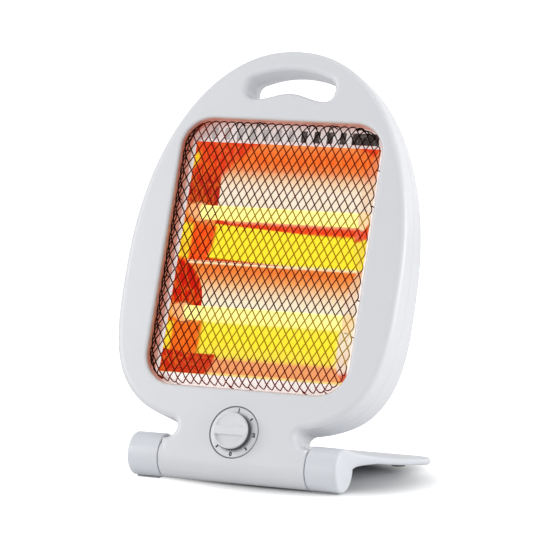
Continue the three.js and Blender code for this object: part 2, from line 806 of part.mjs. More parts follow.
function reflector() {
  const front = [];
  const steps = outlineSteps;
  for (let step = 0; step <= steps; step += 1) {
    const z = trayBottom + ((trayTop - trayBottom) * step) / steps;
    front.push(new THREE.Vector2(flangeFront + troughAt(z), z));
  }
  const behind = front.map((point) => new THREE.Vector2(point.x + sheetThickness, point.y)).reverse();
  behind[0].y += sheetThickness;
  behind[behind.length - 1].y -= sheetThickness;
  const sheet = solidOf(extrudeAlongX(shapeOf([...front, ...behind]), -bodyHalfWidth, bodyHalfWidth));
  const troughs = sheet.intersect(betweenCheeks(-seatGap));
  const outerFrame = roundedRectangle(
    openingHalfWidth + flangeOverlap,
    openingBottom - flangeOverlap / 2,
    openingTop + flangeOverlap / 2,
    openingCorner,
  );
  let flange = prism(outerFrame, flangeFront, flangeBack);
  const low = new THREE.Vector3(-trayHalfWidth, farAhead, trayBottom);
  flange = flange.subtract(solidOf(boxBetween(low, new THREE.Vector3(trayHalfWidth, farBehind, trayTop))));
  const slotZ = (trayTop + openingTop) / 2;
  for (let index = 0; index < ventSlotCount; index += 1) {
    const x = ventSlotPitch * (index - (ventSlotCount - 1) / 2);
    const slotLow = new THREE.Vector3(x - ventSlotWidth / 2, farAhead, slotZ - ventSlotHeight / 2);
    const slotHigh = new THREE.Vector3(x + ventSlotWidth / 2, farBehind, slotZ + ventSlotHeight / 2);
    flange = flange.subtract(solidOf(boxBetween(slotLow, slotHigh)));
  }
  return flange.add(troughs);
}

const tubeHeights = { lower: lowerTubeHeight, upper: upperTubeHeight };
const sides = { left: -1, right: 1 };

// A slanted cheek closing one end of both troughs, with a hole for each tube end.
function endCheek(side) {
  const thick = sheetThickness;
  const back = flangeFront + troughDepth;
  const foot = trayHalfWidth - cheekRun;
  const plan = [
    new THREE.Vector2(side * foot, back),
    new THREE.Vector2(side * (foot + thick * 2), back),
    new THREE.Vector2(side * (trayHalfWidth - seatGap), flangeBack + thick),
    new THREE.Vector2(side * (trayHalfWidth - seatGap), flangeFront),
  ];
  if (side < 0) plan.reverse();
  let cheek = solidOf(extrudeAlongZ(shapeOf(plan), trayBottom + seatGap, trayTop - seatGap));
  for (const height of Object.values(tubeHeights)) {
    const hole = rodAlong('x', ceramicRadius + runningGap, -bodyHalfWidth, bodyHalfWidth);
    cheek = cheek.subtract(solidOf(hole.translate(0, tubeBehindAxis, height)));
  }
  return cheek;
}

function latheAlongX(profile, segments = smallSides) {
  const turned = new THREE.LatheGeometry(profile.map(([r, x]) => new THREE.Vector2(r, x)), segments);
  return turned.rotateZ(-Math.PI / 2);
}

function quartzTube(height) {
  const profile = [
    [tubeBore, -tubeHalfLength],
    [tubeRadius, -tubeHalfLength],
    [tubeRadius, tubeHalfLength],
    [tubeBore, tubeHalfLength],
    [tubeBore, -tubeHalfLength],
  ];
  return latheAlongX(profile).translate(0, tubeBehindAxis, height);
}

// The heating element's core, with a spacer disc near each end that centres it in the tube.
function elementCore(height) {
  const disc = tubeBore - seatGap;
  const inner = coreHalfLength - spacerThickness;
  const profile = [
    [0, -coreHalfLength],
    [disc, -coreHalfLength],
    [disc, -inner],
    [coreRadius, -inner],
    [coreRadius, inner],
    [disc, inner],
    [disc, coreHalfLength],
    [0, coreHalfLength],
  ];
  return latheAlongX(profile).translate(0, tubeBehindAxis, height);
}

function ceramicEnd(side, height) {
  const bore = tubeRadius + seatGap;
  const outer = ceramicInner + ceramicLength;
  const socketEnd = tubeHalfLength + seatGap;
  const profile = [
    [bore, ceramicInner],
    [ceramicRadius, ceramicInner],
    [ceramicRadius, outer],
    [0, outer],
    [0, socketEnd],
    [bore, socketEnd],
    [bore, ceramicInner],
  ];
  const turned = latheAlongX(profile);
  if (side < 0) turned.rotateY(Math.PI);
  return turned.translate(0, tubeBehindAxis, height);
}

// A terminal pin whose collar lies on the ceramic end's outer face.
function terminalPin(side, height) {
  const from = ceramicInner + ceramicLength + seatGap;
  const collar = from + sheetThickness;
  const profile = [
    [0, from],
    [terminalPinRadius * 2, from],
    [terminalPinRadius * 2, collar],
    [terminalPinRadius, collar],
    [terminalPinRadius, from + terminalPinLength],
    [0, from + terminalPinLength],
  ];
  const turned = latheAlongX(profile, smallSides / 2);
  if (side < 0) turned.rotateY(Math.PI);
  return turned.translate(0, tubeBehindAxis, height);
}

// The bracket that carries one end of both tubes, flanged against the tray's back.
function tubeBracket(side) {
  const low = lowerTubeHeight - bracketMargin;
  const high = upperTubeHeight + bracketMargin;
  const front = flangeBack + seatGap;
  const outer = side * (bracketPlane + sheetThickness);
  const web = boxBetween(
    new THREE.Vector3(side * bracketPlane, front, low),
    new THREE.Vector3(outer, bracketReach, high),
  );
  const foot = boxBetween(
    new THREE.Vector3(side * (bracketPlane - bracketFlange), front, low),
    new THREE.Vector3(outer, front + sheetThickness, high),
  );
  let bracket = solidOf(web).add(solidOf(foot));
  for (const height of Object.values(tubeHeights)) {
    const hole = rodAlong('x', ceramicRadius + seatGap, -bodyHalfWidth, bodyHalfWidth);
    bracket = bracket.subtract(solidOf(hole.translate(0, tubeBehindAxis, height)));
  }
  return geometryOf(bracket);
}

const shieldFront = flangeFront + troughDepth + sheetThickness + seatGap;
const shieldBack = shieldFront + sheetThickness;

function heatShield() {
  const low = new THREE.Vector3(-shieldHalfWidth, shieldFront, shieldBottom);
  const high = new THREE.Vector3(shieldHalfWidth, shieldBack, shieldTop);
  return boxBetween(low, high);
}

function thermalCutout() {
  const front = shieldBack + seatGap;
  const ear = boxBetween(
    new THREE.Vector3(-cutoutEarLength / 2, front, cutoutPlaceHeight - cutoutEarWidth / 2),
    new THREE.Vector3(cutoutEarLength / 2, front + sheetThickness, cutoutPlaceHeight + cutoutEarWidth / 2),
  );
  const disc = rodAtPlace({ x: 0, z: cutoutPlaceHeight }, cutoutRadius, front, front + cutoutHeight);
  return geometryOf(solidOf(ear).add(disc));
}

const knobBack = -barrelRadius - dialProud - seatGap;
const knobFront = knobBack - knobDepth;

// The knob: a drafted disc with two pockets that leave a rim and a grip bar across it.
function controlKnob() {
  const profile = [
    new THREE.Vector2(0, 0),
    new THREE.Vector2(knobRadius, 0),
    new THREE.Vector2(knobRadius, knobSkirt),
    new THREE.Vector2(knobRadius - knobSkirt / 2, knobDepth - knobSkirt),
    new THREE.Vector2(knobRadius - knobSkirt, knobDepth),
    new THREE.Vector2(0, knobDepth),
  ];
  const disc = new THREE.LatheGeometry(profile, barrelSides).rotateX(Math.PI);
  let knob = solidOf(disc.translate(0, knobBack, knobHeight));
  const pocketRadius = knobRadius - knobSkirt - knobRim;
  const pocket = rodAtPlace(knobPlace, pocketRadius, farAhead - knobDepth, knobFront + knobPocketDepth, barrelSides);
  const bar = solidOf(boxBetween(
    new THREE.Vector3(-knobRadius, knobFront - cutOverrun * 2, knobHeight - knobBarWidth / 2),
    new THREE.Vector3(knobRadius, knobBack, knobHeight + knobBarWidth / 2),
  ));
  knob = knob.subtract(pocket.subtract(bar));
  const socket = rodAtPlace(knobPlace, shaftRadius + seatGap, knobBack - shaftInKnob, 0);
  return knob.subtract(socket);
}

function dialRing() {
  const ring = rodAtPlace(knobPlace, dialRadius, dialBack - dialThickness, dialBack, barrelSides);
  return ring.subtract(rodAtPlace(knobPlace, dialBore, farAhead, 0, barrelSides));
}

const shaftFront = knobBack - shaftInKnob + seatGap;

function switchShaft() {
  return rodAtPlace(knobPlace, shaftRadius, shaftFront, shaftFront + shaftLength);
}

function rotarySwitch() {
  const front = bodyWall - barrelRadius + seatGap;
  const low = new THREE.Vector3(-switchWidth / 2, front, knobHeight - switchHeight / 2);
  const high = new THREE.Vector3(switchWidth / 2, front + switchDepth, knobHeight + switchHeight / 2);
  const bush = rodAtPlace(knobPlace, switchBushRadius, -barrelRadius, front + bodyWall);
  const bore = rodAtPlace(knobPlace, shaftRadius + seatGap, farAhead, shaftFront + shaftLength + seatGap);
  return solidOf(boxBetween(low, high)).add(bush).subtract(bore);
}

// The tip-over switch's case: a box open at the bottom, carried by a post against the front shell's wall.
function tipSwitchCase() {
  const half = new THREE.Vector3(tipCaseWidth / 2, tipCaseDepth / 2, tipCaseHeight / 2);
  const low = new THREE.Vector3(-half.x, -half.y, -half.z);
  let shell = solidOf(boxBetween(low, half));
  const wall = new THREE.Vector3(tipCaseWall, tipCaseWall, tipCaseWall);
  const innerLow = low.clone().add(wall);
  innerLow.z = -half.z - cutOverrun;
  shell = shell.subtract(solidOf(boxBetween(innerLow, half.clone().sub(wall))));
  const pin = rodAlong('x', tipPinRadius, -half.x, half.x, smallSides / 2).translate(0, tipPivotY, tipPivotZ);
  const front = bodyWall - barrelRadius + seatGap - tipPlaceY;
  const post = rodAlong('y', tipArmWidth / 2, front, tipCaseWall - half.y, smallSides / 2);
  return shell.add(solidOf(pin)).add(solidOf(post.translate(0, 0, -tipPostDrop)));
}

const tipPivotZ = tipCaseHeight / 2 - tipCaseWall - tipArmWidth;
const tipPivotY = -tipArmLength * Math.sin(bodyLean);

// The pendulum that hangs plumb from the case's pin.
function tipWeight() {
  const eye = rodAlong('x', tipArmWidth / 2, -tipArmWidth / 2, tipArmWidth / 2);
  const arm = boxBetween(
    new THREE.Vector3(-tipArmWidth / 2, -tipPinRadius, -tipArmLength),
    new THREE.Vector3(tipArmWidth / 2, tipPinRadius, 0),
  );
  const bob = rodAlong('x', tipWeightRadius, -tipWeightLength / 2, tipWeightLength / 2);
  bob.translate(0, 0, -tipArmLength);
  const bore = rodAlong('x', tipPinRadius + seatGap, -tipCaseWidth, tipCaseWidth, smallSides / 2);
  return solidOf(eye).add(solidOf(arm)).add(solidOf(bob)).subtract(solidOf(bore));
}

function terminalBlock() {
  const low = new THREE.Vector3(-blockWidth / 2, -blockDepth / 2, -blockHeight / 2);
  const high = new THREE.Vector3(blockWidth / 2, blockDepth / 2, blockHeight / 2);
  const front = bodyWall - barrelRadius + seatGap - blockPlaceY;
  const post = rodAlong('y', blockHeight / 2, front, 0, smallSides / 2);
  let block = solidOf(boxBetween(low, high)).add(solidOf(post));
  for (const place of [-1, 0, 1]) {
    const clamp = rodAlong('z', leadRadius + clampGap, 0, blockHeight, smallSides / 2);
    block = block.subtract(solidOf(clamp.translate((place * blockWidth) / 3, blockDepth / 4, 0)));
  }
  return block.translate([blockPlaceX, blockPlaceY, blockPlaceZ]);
}

// The cable gland, left empty: a flanged bush through the rear wall.
function cableGland() {
  const wall = backAt(glandPlaceZ);
  const place = { x: glandPlaceX, z: glandPlaceZ };
  const bush = rodAtPlace(place, glandRadius, wall - glandInside, wall + seatGap * 2);
  const flange = rodAtPlace(place, glandFlangeRadius, wall + seatGap, wall + seatGap + glandFlangeThickness);
  return bush.add(flange).subtract(rodAtPlace(place, glandBore, 0, farBehind + glandInside));
}

function housingScrew(place) {
  const seat = backAt(place.z) - screwWellDepth + seatGap;
  const head = rodAtPlace(place, screwHeadRadius, seat, seat + screwHeadHeight);
  return head.add(rodAtPlace(place, screwShankRadius, seamBehindAxis - screwBite, seat + seatGap, smallSides / 2));
}

const leadAnchors = {
  upperLeftEnd: new THREE.Vector3(-bracketPlane, tubeBehindAxis, upperTubeHeight),
  lowerLeftEnd: new THREE.Vector3(-bracketPlane, tubeBehindAxis, lowerTubeHeight),
  upperRightEnd: new THREE.Vector3(bracketPlane, tubeBehindAxis, upperTubeHeight),
  lowerRightEnd: new THREE.Vector3(bracketPlane, tubeBehindAxis, lowerTubeHeight),
  cutout: new THREE.Vector3(0, shieldBack, cutoutPlaceHeight),
  block: new THREE.Vector3(blockPlaceX, blockPlaceY, blockPlaceZ),
  switch: new THREE.Vector3(0, 0, knobHeight),
};

// A lead along a smooth curve through its points.
function lead(points) {
  const places = points.map(([anchor, x, y, z]) => new THREE.Vector3(x, y, z).add(leadAnchors[anchor]));
  const path = new THREE.CatmullRomCurve3(places);
  const section = new THREE.Shape(
    Array.from({ length: leadSides }, (_, index) => {
      const turn = (index / leadSides) * Math.PI * 2;
      return new THREE.Vector2(leadRadius * Math.cos(turn), leadRadius * Math.sin(turn));
    }),
  );
  return new THREE.ExtrudeGeometry(section, { steps: leadSteps, bevelEnabled: false, extrudePath: path });
}

// The foot's curved plate, cut to its plan outline and notched behind the neck.
function footPlate() {
  const side = [...plateTopShares, ...plateUnderShares].map(
    ([along, up]) => new THREE.Vector2(along * plateRearReach, up * floorDrop),
  );
  side.reverse();
  const reach = capHalfLength + plateSideSlope * plateRearReach;
  let plate = solidOf(extrudeAlongX(shapeOf(side), -reach, reach));
  const slope = new THREE.Vector2(plateSideSlope, 1).normalize();
  const right = [new THREE.Vector2(capHalfLength, -barrelRadius)];
  right.push(new THREE.Vector2(capHalfLength, 0));
  const sideEnd = plateRearReach - plateCorner * (1 - slope.x);
  const sideX = capHalfLength + plateSideSlope * sideEnd;
  const centreX = sideX - plateCorner * slope.y;
  const centreY = plateRearReach - plateCorner;
  const startTurn = -Math.atan(plateSideSlope);
  for (let step = 0; step <= cornerSteps; step += 1) {
    const turn = startTurn + (Math.PI / 2 - startTurn) * (step / cornerSteps);
    const x = centreX + plateCorner * Math.cos(turn);
    right.push(new THREE.Vector2(x, centreY + plateCorner * Math.sin(turn)));
  }
  const left = right.map((point) => new THREE.Vector2(-point.x, point.y)).reverse();
  const plan = solidOf(extrudeAlongZ(shapeOf([...right, ...left]), -barrelRadius * 2, barrelRadius * 2));
  plate = plate.intersect(plan);
  const notchHalf = barrelHalfLength + runningGap;
  const notchStart = -barrelRadius * 2;
  const notch = [new THREE.Vector2(-notchHalf, notchStart), new THREE.Vector2(notchHalf, notchStart)];
  for (const [sign, cornerStart] of [[1, 0], [-1, Math.PI / 2]]) {
    for (let step = 0; step <= cornerSteps; step += 1) {
      const turn = cornerStart + (Math.PI / 2) * (step / cornerSteps);
      const x = sign * (notchHalf - notchCorner) + notchCorner * Math.cos(turn);
      notch.push(new THREE.Vector2(x, notchReach - notchCorner + notchCorner * Math.sin(turn)));
    }
  }
  return plate.subtract(solidOf(extrudeAlongZ(shapeOf(notch), -barrelRadius * 2, barrelRadius * 2)));
}

const capInnerFace = barrelHalfLength + runningGap;
const hubInnerFace = barrelHalfLength - bodyWall - seatGap;
const screwEnd = hubInnerFace + hingeScrewLength;

// One end cap: a cup round a hub that runs through the barrel's end wall.
function endCap(side) {
  const profile = [
    [0, hubInnerFace],
    [hubRadius, hubInnerFace],
    [hubRadius, capHalfLength - capWall],
    [barrelRadius - capWall, capHalfLength - capWall],
    [barrelRadius - capWall, capInnerFace],
    [barrelRadius, capInnerFace],
    [barrelRadius, capHalfLength - capEdgeRounding],
    [barrelRadius - capEdgeRounding / 2, capHalfLength - capEdgeRounding / 4],
    [barrelRadius - capEdgeRounding, capHalfLength],
    [0, capHalfLength],
  ];
  const turned = latheAlongX(profile, barrelSides);
  if (side < 0) turned.rotateY(Math.PI);
  return solidOf(turned);
}

function foot() {
  const inside = rodAlong('x', barrelRadius - capWall, capInnerFace - cutOverrun, capHalfLength - capWall, barrelSides);
  let plate = footPlate();
  plate = plate.subtract(solidOf(inside)).subtract(solidOf(inside.clone().rotateY(Math.PI)));
  let whole = plate;
  for (const side of Object.values(sides)) {
    whole = whole.add(endCap(side));
  }
  for (const side of Object.values(sides)) {
    const bore = rodAlong('x', hingeScrewRadius + seatGap, hubInnerFace - cutOverrun, screwEnd + seatGap);
    if (side < 0) bore.rotateY(Math.PI);
    whole = whole.subtract(solidOf(bore));
    const seatTop = padThickness - floorDrop + seatGap;
    const padWell = rodAlong('z', padRadius + seatGap, -floorDrop - cutOverrun, seatTop);
    whole = whole.subtract(solidOf(padWell.translate(side * padPlaceX, padPlaceY, 0)));
    whole = whole.subtract(solidOf(capPad(side, seatGap)));
  }
  return whole;
}

// A rubber strip let into the underside of an end cap, or its pocket when it is grown by a gap.
function capPad(side, grow) {
  const inner = capInnerFace + capPadMargin - grow;
  const outer = capHalfLength - capPadMargin + grow;
  const low = new THREE.Vector3(side * inner, -capPadWidth / 2 - grow, -floorDrop - grow);
  const top = capPadProud * 2 - floorDrop + grow;
  return boxBetween(low, new THREE.Vector3(side * outer, capPadWidth / 2 + grow, top));
}

function rearPad(side) {
  return rodAlong('z', padRadius, -floorDrop, padThickness - floorDrop).translate(side * padPlaceX, padPlaceY, 0);
}

// The friction washer lies against the inside of the barrel's end wall.
function frictionWasher(side) {
  const outer = barrelHalfLength - bodyWall - seatGap * 2;
  const washer = solidOf(rodAlong('x', hingeWasherRadius, outer - hingeWasherThickness, outer));
  const bore = rodAlong('x', hingeScrewRadius + seatGap, 0, capHalfLength);
  const geometry = geometryOf(washer.subtract(solidOf(bore)));
  return side < 0 ? geometry.rotateY(Math.PI) : geometry;
}

function hingeScrew(side) {
  const under = barrelHalfLength - bodyWall - seatGap * 3 - hingeWasherThickness;
  const head = solidOf(rodAlong('x', hingeHeadRadius, under - hingeHeadHeight, under));
  const shank = rodAlong('x', hingeScrewRadius, under - seatGap, screwEnd);
  const geometry = geometryOf(head.add(solidOf(shank)));
  return side < 0 ? geometry.rotateY(Math.PI) : geometry;
}

function standGroup() {
  const group = new THREE.Group();
  addPiece(group, 'foot', 'shell', geometryOf(foot()));
  for (const [name, side] of Object.entries(sides)) {
    addPiece(group, `${name}_rear_pad`, 'rubber', rearPad(side));
    addPiece(group, `${name}_cap_pad`, 'rubber', capPad(side, 0));
    addPiece(group, `${name}_friction_washer`, 'steel', frictionWasher(side));
    addPiece(group, `${name}_hinge_screw`, 'steel', hingeScrew(side));
  }
  return group;
}

function addTubes(group) {
  for (const [level, height] of Object.entries(tubeHeights)) {
    addPiece(group, `${level}_quartz_tube`, 'quartz', quartzTube(height));
    addPiece(group, `${level}_element_core`, 'element', elementCore(height));
    for (const [name, side] of Object.entries(sides)) {
      addPiece(group, `${level}_${name}_ceramic`, 'ceramic', ceramicEnd(side, height));
      addPiece(group, `${level}_${name}_terminal`, 'brass', terminalPin(side, height));
    }
  }
}

function heaterGroup() {
  const group = new THREE.Group();
  const whole = wholeHousing();
  addPiece(group, 'front_housing', 'shell', geometryOf(frontHousing(whole)));
  addPiece(group, 'rear_housing', 'shell', geometryOf(rearHousing(whole)));
  addPiece(group, 'wire_guard', 'blackWire', wireGuard());
  addPiece(group, 'reflector', 'mirrorSheet', geometryOf(reflector()));
  for (const [name, side] of Object.entries(sides)) {
    addPiece(group, `${name}_end_cheek`, 'mirrorSheet', geometryOf(endCheek(side)));
    addPiece(group, `${name}_tube_bracket`, 'plainSheet', tubeBracket(side));
  }
  addTubes(group);
  addPiece(group, 'heat_shield', 'plainSheet', heatShield());
  addPiece(group, 'thermal_cutout', 'darkPlastic', thermalCutout());
  addPiece(group, 'dial_ring', 'shellGrey', geometryOf(dialRing()));
  addPiece(group, 'rotary_switch', 'darkPlastic', geometryOf(rotarySwitch()));
  addPiece(group, 'terminal_block', 'ceramic', geometryOf(terminalBlock()));
  addPiece(group, 'cable_gland', 'darkPlastic', geometryOf(cableGland()));
  const leads = { link: linkLead, feed: feedLead, cutout: cutoutLead, return: returnLead, switch: switchLead };
  for (const [name, points] of Object.entries(leads)) {
    addPiece(group, `${name}_lead`, 'lead', lead(points));
  }
  bothSides(screwPlaces).forEach((place, index) => {
    addPiece(group, `housing_screw_${index + 1}`, 'steel', geometryOf(housingScrew(place)));
  });
  addPiece(group, 'control_knob', 'shell', geometryOf(controlKnob()));
  addPiece(group, 'switch_shaft', 'shellGrey', geometryOf(switchShaft()));
  const tip = new THREE.Group();
  tip.position.set(tipPlaceX, tipPlaceY, tipPlaceZ);
  addPiece(tip, 'tip_switch_case', 'darkPlastic', geometryOf(tipSwitchCase()));
  const weight = addPiece(tip, 'tip_weight', 'brass', geometryOf(tipWeight()));
  weight.position.set(0, tipPivotY, tipPivotZ);
  weight.rotation.x = bodyLean;
  group.add(tip);
  group.rotation.x = -bodyLean;
  return group;
}

const heater = new THREE.Group();
heater.add(standGroup(), heaterGroup());
heater.position.z = floorDrop;
heater.updateMatrixWorld(true);
const bounds = new THREE.Box3().setFromObject(heater, true);
heater.position.y = -(bounds.min.y + bounds.max.y) / 2;

export default heater;
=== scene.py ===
"""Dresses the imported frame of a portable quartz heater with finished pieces, materials and studio light."""

import json
import logging
import math
from collections.abc import Callable, Iterable, Sequence
from dataclasses import dataclass
from enum import Enum

import bmesh
import bpy
from mathutils import Matrix, Vector
from mathutils.kdtree import KDTree

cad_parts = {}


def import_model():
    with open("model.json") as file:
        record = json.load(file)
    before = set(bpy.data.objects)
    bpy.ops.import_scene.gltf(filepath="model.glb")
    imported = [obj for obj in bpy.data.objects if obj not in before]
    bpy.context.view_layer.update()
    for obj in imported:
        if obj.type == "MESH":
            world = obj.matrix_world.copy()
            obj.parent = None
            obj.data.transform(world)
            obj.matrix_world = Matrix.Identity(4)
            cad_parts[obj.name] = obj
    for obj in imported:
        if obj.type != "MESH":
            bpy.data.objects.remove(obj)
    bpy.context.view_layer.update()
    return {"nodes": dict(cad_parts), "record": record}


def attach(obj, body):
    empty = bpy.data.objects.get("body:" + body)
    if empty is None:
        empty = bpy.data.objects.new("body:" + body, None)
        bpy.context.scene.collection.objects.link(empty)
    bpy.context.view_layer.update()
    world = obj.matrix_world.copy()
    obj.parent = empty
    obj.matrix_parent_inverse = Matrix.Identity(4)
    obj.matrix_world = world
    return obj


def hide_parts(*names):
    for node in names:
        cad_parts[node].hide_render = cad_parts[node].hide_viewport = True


log = logging.getLogger("heater")

MM = 0.001
HINGE = Vector((0.0, -0.0599962, 0.0191))
LEAN = math.radians(22.0)
STAND_PLACE = Matrix.Translation(HINGE) @ Matrix.Scale(MM, 4)
PANEL_PLACE = Matrix.Translation(HINGE) @ Matrix.Rotation(-LEAN, 4, "X") @ Matrix.Scale(MM, 4)
HERE = Matrix.Identity(4)
ALONG_X = Vector((1.0, 0.0, 0.0))
ALONG_Y = Vector((0.0, 1.0, 0.0))
QUARTER = math.pi / 2
WELD = 1e-4
ANY_DEPTH = 1e6
MITRE_LIMIT = 0.5

Surface = Callable[[float], float]
Colour = tuple[float, float, float]
Pair = tuple[float, float]
Socket = bpy.types.NodeSocket


class Body(Enum):
    """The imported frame's bodies that finished pieces ride on."""

    STAND = "stand"
    HEATER = "heater"
    KNOB = "knob"


class Side(Enum):
    """The two ends of the heater, as signs along X."""

    LEFT = -1
    RIGHT = 1

    @property
    def word(self) -> str:
        """The side's name in piece names."""
        return self.name.lower()


class NodeTree:
    """A node tree being laid out."""

    def __init__(self, owner: bpy.types.Material | bpy.types.World, output: str) -> None:
        """Empties the owner's tree and gives it an output.

        Args:
            owner: The material or the world.
            output: The output node's type.
        """
        owner.use_nodes = True
        owner.node_tree.nodes.clear()
        self.nodes = owner.node_tree.nodes
        self.links = owner.node_tree.links
        self.output = self.nodes.new(output)

    def node(self, kind: str, *sources: Socket | None, **values: object) -> bpy.types.Node:
        """Adds a node, feeds its first inputs and sets its properties.

        Args:
            kind: The node's type.
            sources: What its first inputs get, in order; None leaves one as it is.
            values: Properties, or inputs written as in_NAME or as at_NUMBER.

        Returns:
            The node.
        """
        made = self.nodes.new(kind)
        for key, value in values.items():
            if key.startswith("in_"):
                made.inputs[key[3:].replace("_", " ")].default_value = value
            elif key.startswith("at_"):
                made.inputs[int(key[3:])].default_value = value
            else:
                setattr(made, key, value)
        for source, socket in zip(sources, made.inputs):
            if source is not None:
                self.links.new(source, socket)
        return made

    def finish(self, last: bpy.types.Node) -> None:
        """Feeds the output from the last node."""
        self.links.new(last.outputs[0], self.output.inputs[0])


class Palette(NodeTree):
    """The node tree of one finish."""

    def __init__(self, name: str) -> None:
        """Makes an empty material with a Principled shader.

        Args:
            name: The material's name.
        """
        self.material = bpy.data.materials.new(name)
        super().__init__(self.material, "ShaderNodeOutputMaterial")
        self.shader = self.node("ShaderNodeBsdfPrincipled")
        self.finish(self.shader)

    def set(self, **values: float | Colour) -> "Palette":
        """Sets the shader's own sockets; underscores stand for spaces.

        Args:
            values: Socket names and values.

        Returns:
            This palette.
        """
        for key, value in values.items():
            socket = self.shader.inputs[key.replace("_", " ")]
            socket.default_value = (*value, 1.0) if isinstance(value, tuple) else value
        return self

    def place(self, scale: Sequence[float] = (1.0, 1.0, 1.0)) -> Socket:
        """Object coordinates, scaled along each axis."""
        source = self.node("ShaderNodeTexCoord").outputs["Object"]
        return self.node("ShaderNodeMapping", source, in_Scale=tuple(scale)).outputs[0]

    def panel_place(self) -> Socket:
        """Object coordinates turned upright and counted in millimetres from the hinge axis.

        Returns:
            The vector socket.
        """
        source = self.node("ShaderNodeTexCoord").outputs["Object"]
        turned = {"in_Location": tuple(HINGE), "in_Rotation": (-LEAN, 0.0, 0.0), "in_Scale": (MM, MM, MM)}
        return self.node("ShaderNodeMapping", source, vector_type="TEXTURE", **turned).outputs[0]

    def noise(self, scale: float, detail: float = 2.0, stretch: Sequence[float] = (1, 1, 1)) -> Socket:
        """Noise on stretched Object coordinates, with this many cells in a metre and octaves."""
        noise = self.node("ShaderNodeTexNoise", self.place(stretch), in_Scale=scale, in_Detail=detail)
        return noise.outputs[0]

    def ramp(self, factor: Socket, stops: Sequence[tuple[float, Colour]]) -> Socket:
        """A colour ramp.

        Args:
            factor: What drives it.
            stops: Positions and colours.

        Returns:
            The colour socket.
        """
        made = self.node("ShaderNodeValToRGB", factor)
        elements = made.color_ramp.elements
        while len(elements) > 1:
            elements.remove(elements[-1])
        elements[0].position = stops[0][0]
        elements[0].color = (*stops[0][1], 1.0)
        for position, colour in stops[1:]:
            elements.new(position).color = (*colour, 1.0)
        return made.outputs[0]

    def spread(self, factor: Socket, low: float, high: float, to_low: float, to_high: float) -> Socket:
        """Maps the range from low to high to the range from to_low to to_high."""
        ends = {"at_1": low, "at_2": high, "at_3": to_low, "at_4": to_high}
        return self.node("ShaderNodeMapRange", factor, **ends).outputs[0]

    def patch(self, place: Socket, patch: "GlowPatch") -> Socket:
        """How fully a place lies in a patch.

        Args:
            place: Millimetres on the panel.
            patch: The patch.

        Returns:
            A value socket, one inside the patch and nought outside it.
        """
        centred = self.node(
            "ShaderNodeMapping",
            place,
            vector_type="TEXTURE",
            in_Location=(patch.middle[0], 0.0, patch.middle[1]),
            in_Rotation=(0.0, math.radians(patch.turn), 0.0),
            in_Scale=(patch.half[0], ANY_DEPTH, patch.half[1]),
        ).outputs[0]
        if patch.is_round:
            distance = self.node("ShaderNodeVectorMath", centred, operation="LENGTH").outputs["Value"]
        else:
            size = self.node("ShaderNodeVectorMath", centred, operation="ABSOLUTE").outputs[0]
            split = self.node("ShaderNodeSeparateXYZ", size).outputs
            distance = self.node("ShaderNodeMath", split[0], split[2], operation="MAXIMUM").outputs[0]
        inside, beyond = (0.0, 1.0) if patch.is_outside else (1.0, 0.0)
        return self.spread(distance, 1.0 - patch.soft, 1.0 + patch.soft, inside, beyond)

    def mixed(self, share: Socket, base: Socket, colour: Colour) -> Socket:
        """Lays a colour over a pattern.

        Args:
            share: How much of the colour shows.
            base: The pattern.
            colour: The colour.

        Returns:
            The colour socket.
        """
        mix = self.node("ShaderNodeMix", share, data_type="RGBA", at_7=(*colour, 1.0))
        self.links.new(base, mix.inputs[6])
        return mix.outputs[2]

    def bump(self, height: Socket, depth: float, strength: float) -> "Palette":
        """Raises the surface by a pattern.

        Args:
            height: The pattern.
            depth: Its height in metres.
            strength: How strongly it shows.

        Returns:
            This palette.
        """
        made = self.node("ShaderNodeBump", in_Strength=strength, in_Distance=depth)
        self.links.new(height, made.inputs["Height"])
        return self.drive(made.outputs[0], "Normal")

    def drive(self, socket: Socket, name: str) -> "Palette":
        """Links a pattern to one of the shader's sockets."""
        self.links.new(socket, self.shader.inputs[name])
        return self


@dataclass(frozen=True)
class GlowBand:
    """One colour of painted light at one height, in millimetres above the hinge axis."""

    height: float
    colour: Colour


def bands(*rows: tuple[float, float, float, float]) -> tuple[GlowBand, ...]:
    """Painted glow bands from rows of a height and its colour's red, green and blue."""
    return tuple(GlowBand(row[0], row[1:]) for row in rows)


@dataclass(frozen=True)
class GlowPatch:
    """A rectangle or ellipse of the panel with a painted light colour of its own, in millimetres."""

    middle: Pair
    half: Pair
    colour: Colour
    soft: float = 0.03
    turn: float = 0.0
    is_round: bool = False
    is_outside: bool = False


